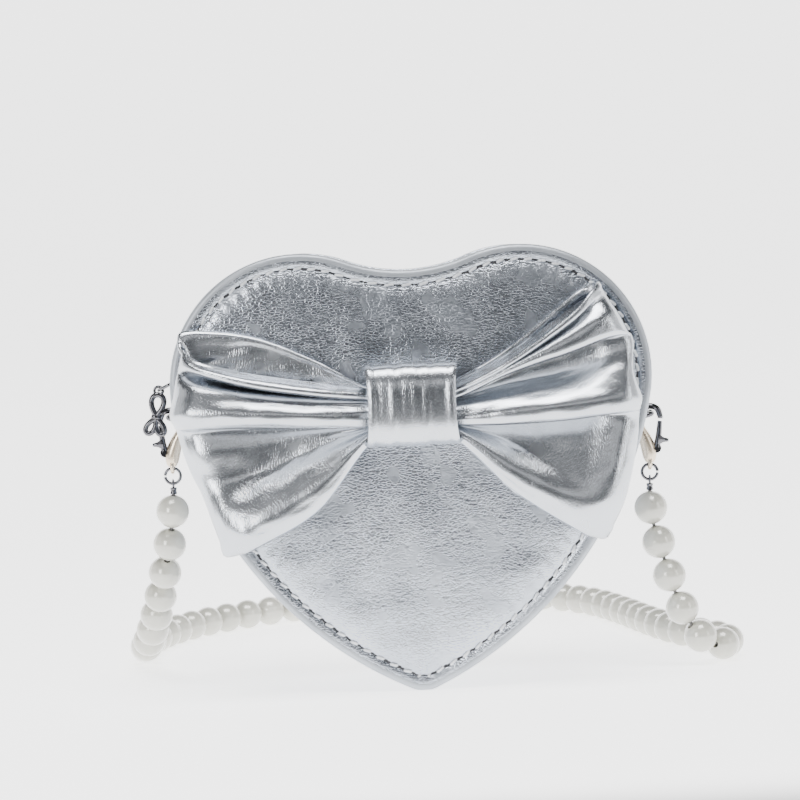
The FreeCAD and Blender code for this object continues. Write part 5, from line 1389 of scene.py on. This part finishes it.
eye = wire_ring((CLASP_X, CLASP_Y, EYE_HEIGHT), EYE_RADIUS, (1, 0, 0), EYE_WIRE, 36, 12)
claw_part = together([cast_bar(BODY_PATH, BODY_WIDE, BODY_THICK), eye])
hook_part = cast_bar(HOOK_PATH, HOOK_WIDE, HOOK_THICK)
jump_path = circle(JUMP_CENTRE, JUMP_RADIUS, (0, 1, 0), 60, sweep=350.0, start=95.0)
jump_part = closed_tube(tube(jump_path, JUMP_WIRE, 12, (0, 1, 0)))
CLASP_PIECES = [("_clasp_claw", claw_part, champagne, "_clasp", "_clasp_body"),
                ("_clasp_hook", hook_part, gunmetal, "_clasp", "_clasp_body"),
                ("_clasp_lever", trigger_part(), gunmetal, "_trigger", "_trigger"),
                ("_jump_wire", jump_part, gunmetal, "_clasp", "_jump_ring")]
for side, name in SIDES:
    for piece_name, part, metal, body, solid in CLASP_PIECES:
        make_piece(name + piece_name, hung(part, side), metal, name + body, [name + solid])

# %% [markdown]
# Some solids already have their true shape: the stiff boards, the rivet, the pins, the
# springs and the zip's end stops. They only get their finish.

# %% Finishes of the plain solids
PLAIN_FINISHES = {"board": board, "rivet": gunmetal, "pin": gunmetal, "spring": spring_steel,
                  "stop": gunmetal}
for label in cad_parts:
    for word, material in PLAIN_FINISHES.items():
        if label.endswith(word):
            node_object = bpy.data.objects[label]
            node_object.data.materials.clear()
            node_object.data.materials.append(material)
            print("finish", material.name, "on", label)

# %% [markdown]
# The studio is a pale, glowing floor that bends up into a wall behind, far enough away to
# stay plain. Silver shows what it mirrors, so the floor has a darker card in front of the
# purse, outside the picture. The card is only as wide as the front needs: it fades out to
# the sides and toward the purse.

# %% Floor and backdrop
GLOW_START, GLOW_FULL = -0.28, -0.18
CARD_INNER, CARD_OUTER = 0.5, 1.0
PAPER_FRONT, PAPER_BACK = 0.12, 0.9
PAPER_GLOW = 2.3
FLOOR_HALF_WIDTH = 5.0
BACKDROP = [(-1.6, 0.0), (-0.8, 0.0), (0.0, 0.0), (0.6, 0.0), (1.2, 0.0), (1.55, 0.08), (1.8, 0.35),
            (1.9, 0.8), (1.9, 1.8)]
backdrop_line = smooth_line(BACKDROP, 6)
floor_points = [(x, y, z) for y, z in backdrop_line for x in (-FLOOR_HALF_WIDTH, FLOOR_HALF_WIDTH)]
floor_mesh = bpy.data.meshes.new("studio_floor")
floor_mesh.from_pydata(floor_points, [], grid_faces(len(backdrop_line), 2).tolist())
floor_mesh.polygons.foreach_set("use_smooth", np.ones(len(floor_mesh.polygons), bool))
paper = bpy.data.materials.new("studio_paper")
paper.use_nodes = True
paper_tree = paper.node_tree
paper_shader = paper_tree.nodes["Principled BSDF"]
paper_shader.inputs["Roughness"].default_value = 0.9
paper_shader.inputs["Emission Strength"].default_value = PAPER_GLOW
paper_place = paper_tree.nodes.new("ShaderNodeSeparateXYZ")
paper_tree.links.new(paper_tree.nodes.new("ShaderNodeTexCoord").outputs["Object"], paper_place.inputs[0])
beside = math_node(paper_tree, "ABSOLUTE", paper_place.outputs["X"])
pale_behind = map_range(paper_tree, paper_place.outputs["Y"], GLOW_START, GLOW_FULL, 0.0, 1.0)
pale_beside = map_range(paper_tree, beside, CARD_INNER, CARD_OUTER, 0.0, 1.0)
pale = math_node(paper_tree, "MAXIMUM", pale_behind, pale_beside)
for label, low, high in (("Base Color", PAPER_FRONT, PAPER_BACK), ("Emission Color", 0.0, 1.0)):
    paper_tree.links.new(map_range(paper_tree, pale, 0.0, 1.0, low, high), paper_shader.inputs[label])
floor_mesh.materials.append(paper)
floor = add_object("studio_floor", floor_mesh)
print("floor", len(floor_mesh.polygons), "faces")

# %% [markdown]
# The light comes from six soft panels: a large one above, one at each side of the camera, a
# broad fill at each side of the purse and a weak one from the front. Each row gives a
# panel's name, its place and aim in metres, its width and height, and its power in watts.

# %% Lights
LIGHTS = [
    ("top_panel", (0.0, -0.32, 1.12), (0.0, 0.0, 0.05), 0.8, 0.5, 18.0),
    ("left_panel", (-0.7, -1.1, 0.35), (0.0, 0.0, 0.08), 0.35, 0.6, 9.0),
    ("right_panel", (1.0, -0.7, 0.4), (0.0, 0.0, 0.08), 0.25, 0.7, 3.0),
    ("left_fill", (-1.3, 0.0, 0.5), (0.0, 0.0, 0.08), 1.0, 0.9, 3.0),
    ("right_fill", (1.3, 0.0, 0.5), (0.0, 0.0, 0.08), 1.0, 0.9, 3.0),
    ("front_panel", (0.25, -1.6, 0.75), (0.0, 0.0, 0.08), 0.9, 0.4, 1.25)]
for name, place, aim, wide, tall, power in LIGHTS:
    lamp_data = bpy.data.lights.new(name + "_light", "AREA")
    lamp_data.shape = "RECTANGLE"
    lamp_data.size = wide
    lamp_data.size_y = tall
    lamp_data.energy = power
    lamp = add_object(name + "_light", lamp_data)
    lamp.location = place
    lamp.rotation_euler = (Vector(aim) - Vector(place)).to_track_quat("-Z", "Y").to_euler()
world = bpy.data.worlds.new("studio")
world.use_nodes = True
world.node_tree.nodes["Background"].inputs["Color"].default_value = (0.93, 0.95, 1.0, 1.0)
world.node_tree.nodes["Background"].inputs["Strength"].default_value = 0.08
bpy.context.scene.world = world
print("lights", [row[0] for row in LIGHTS])
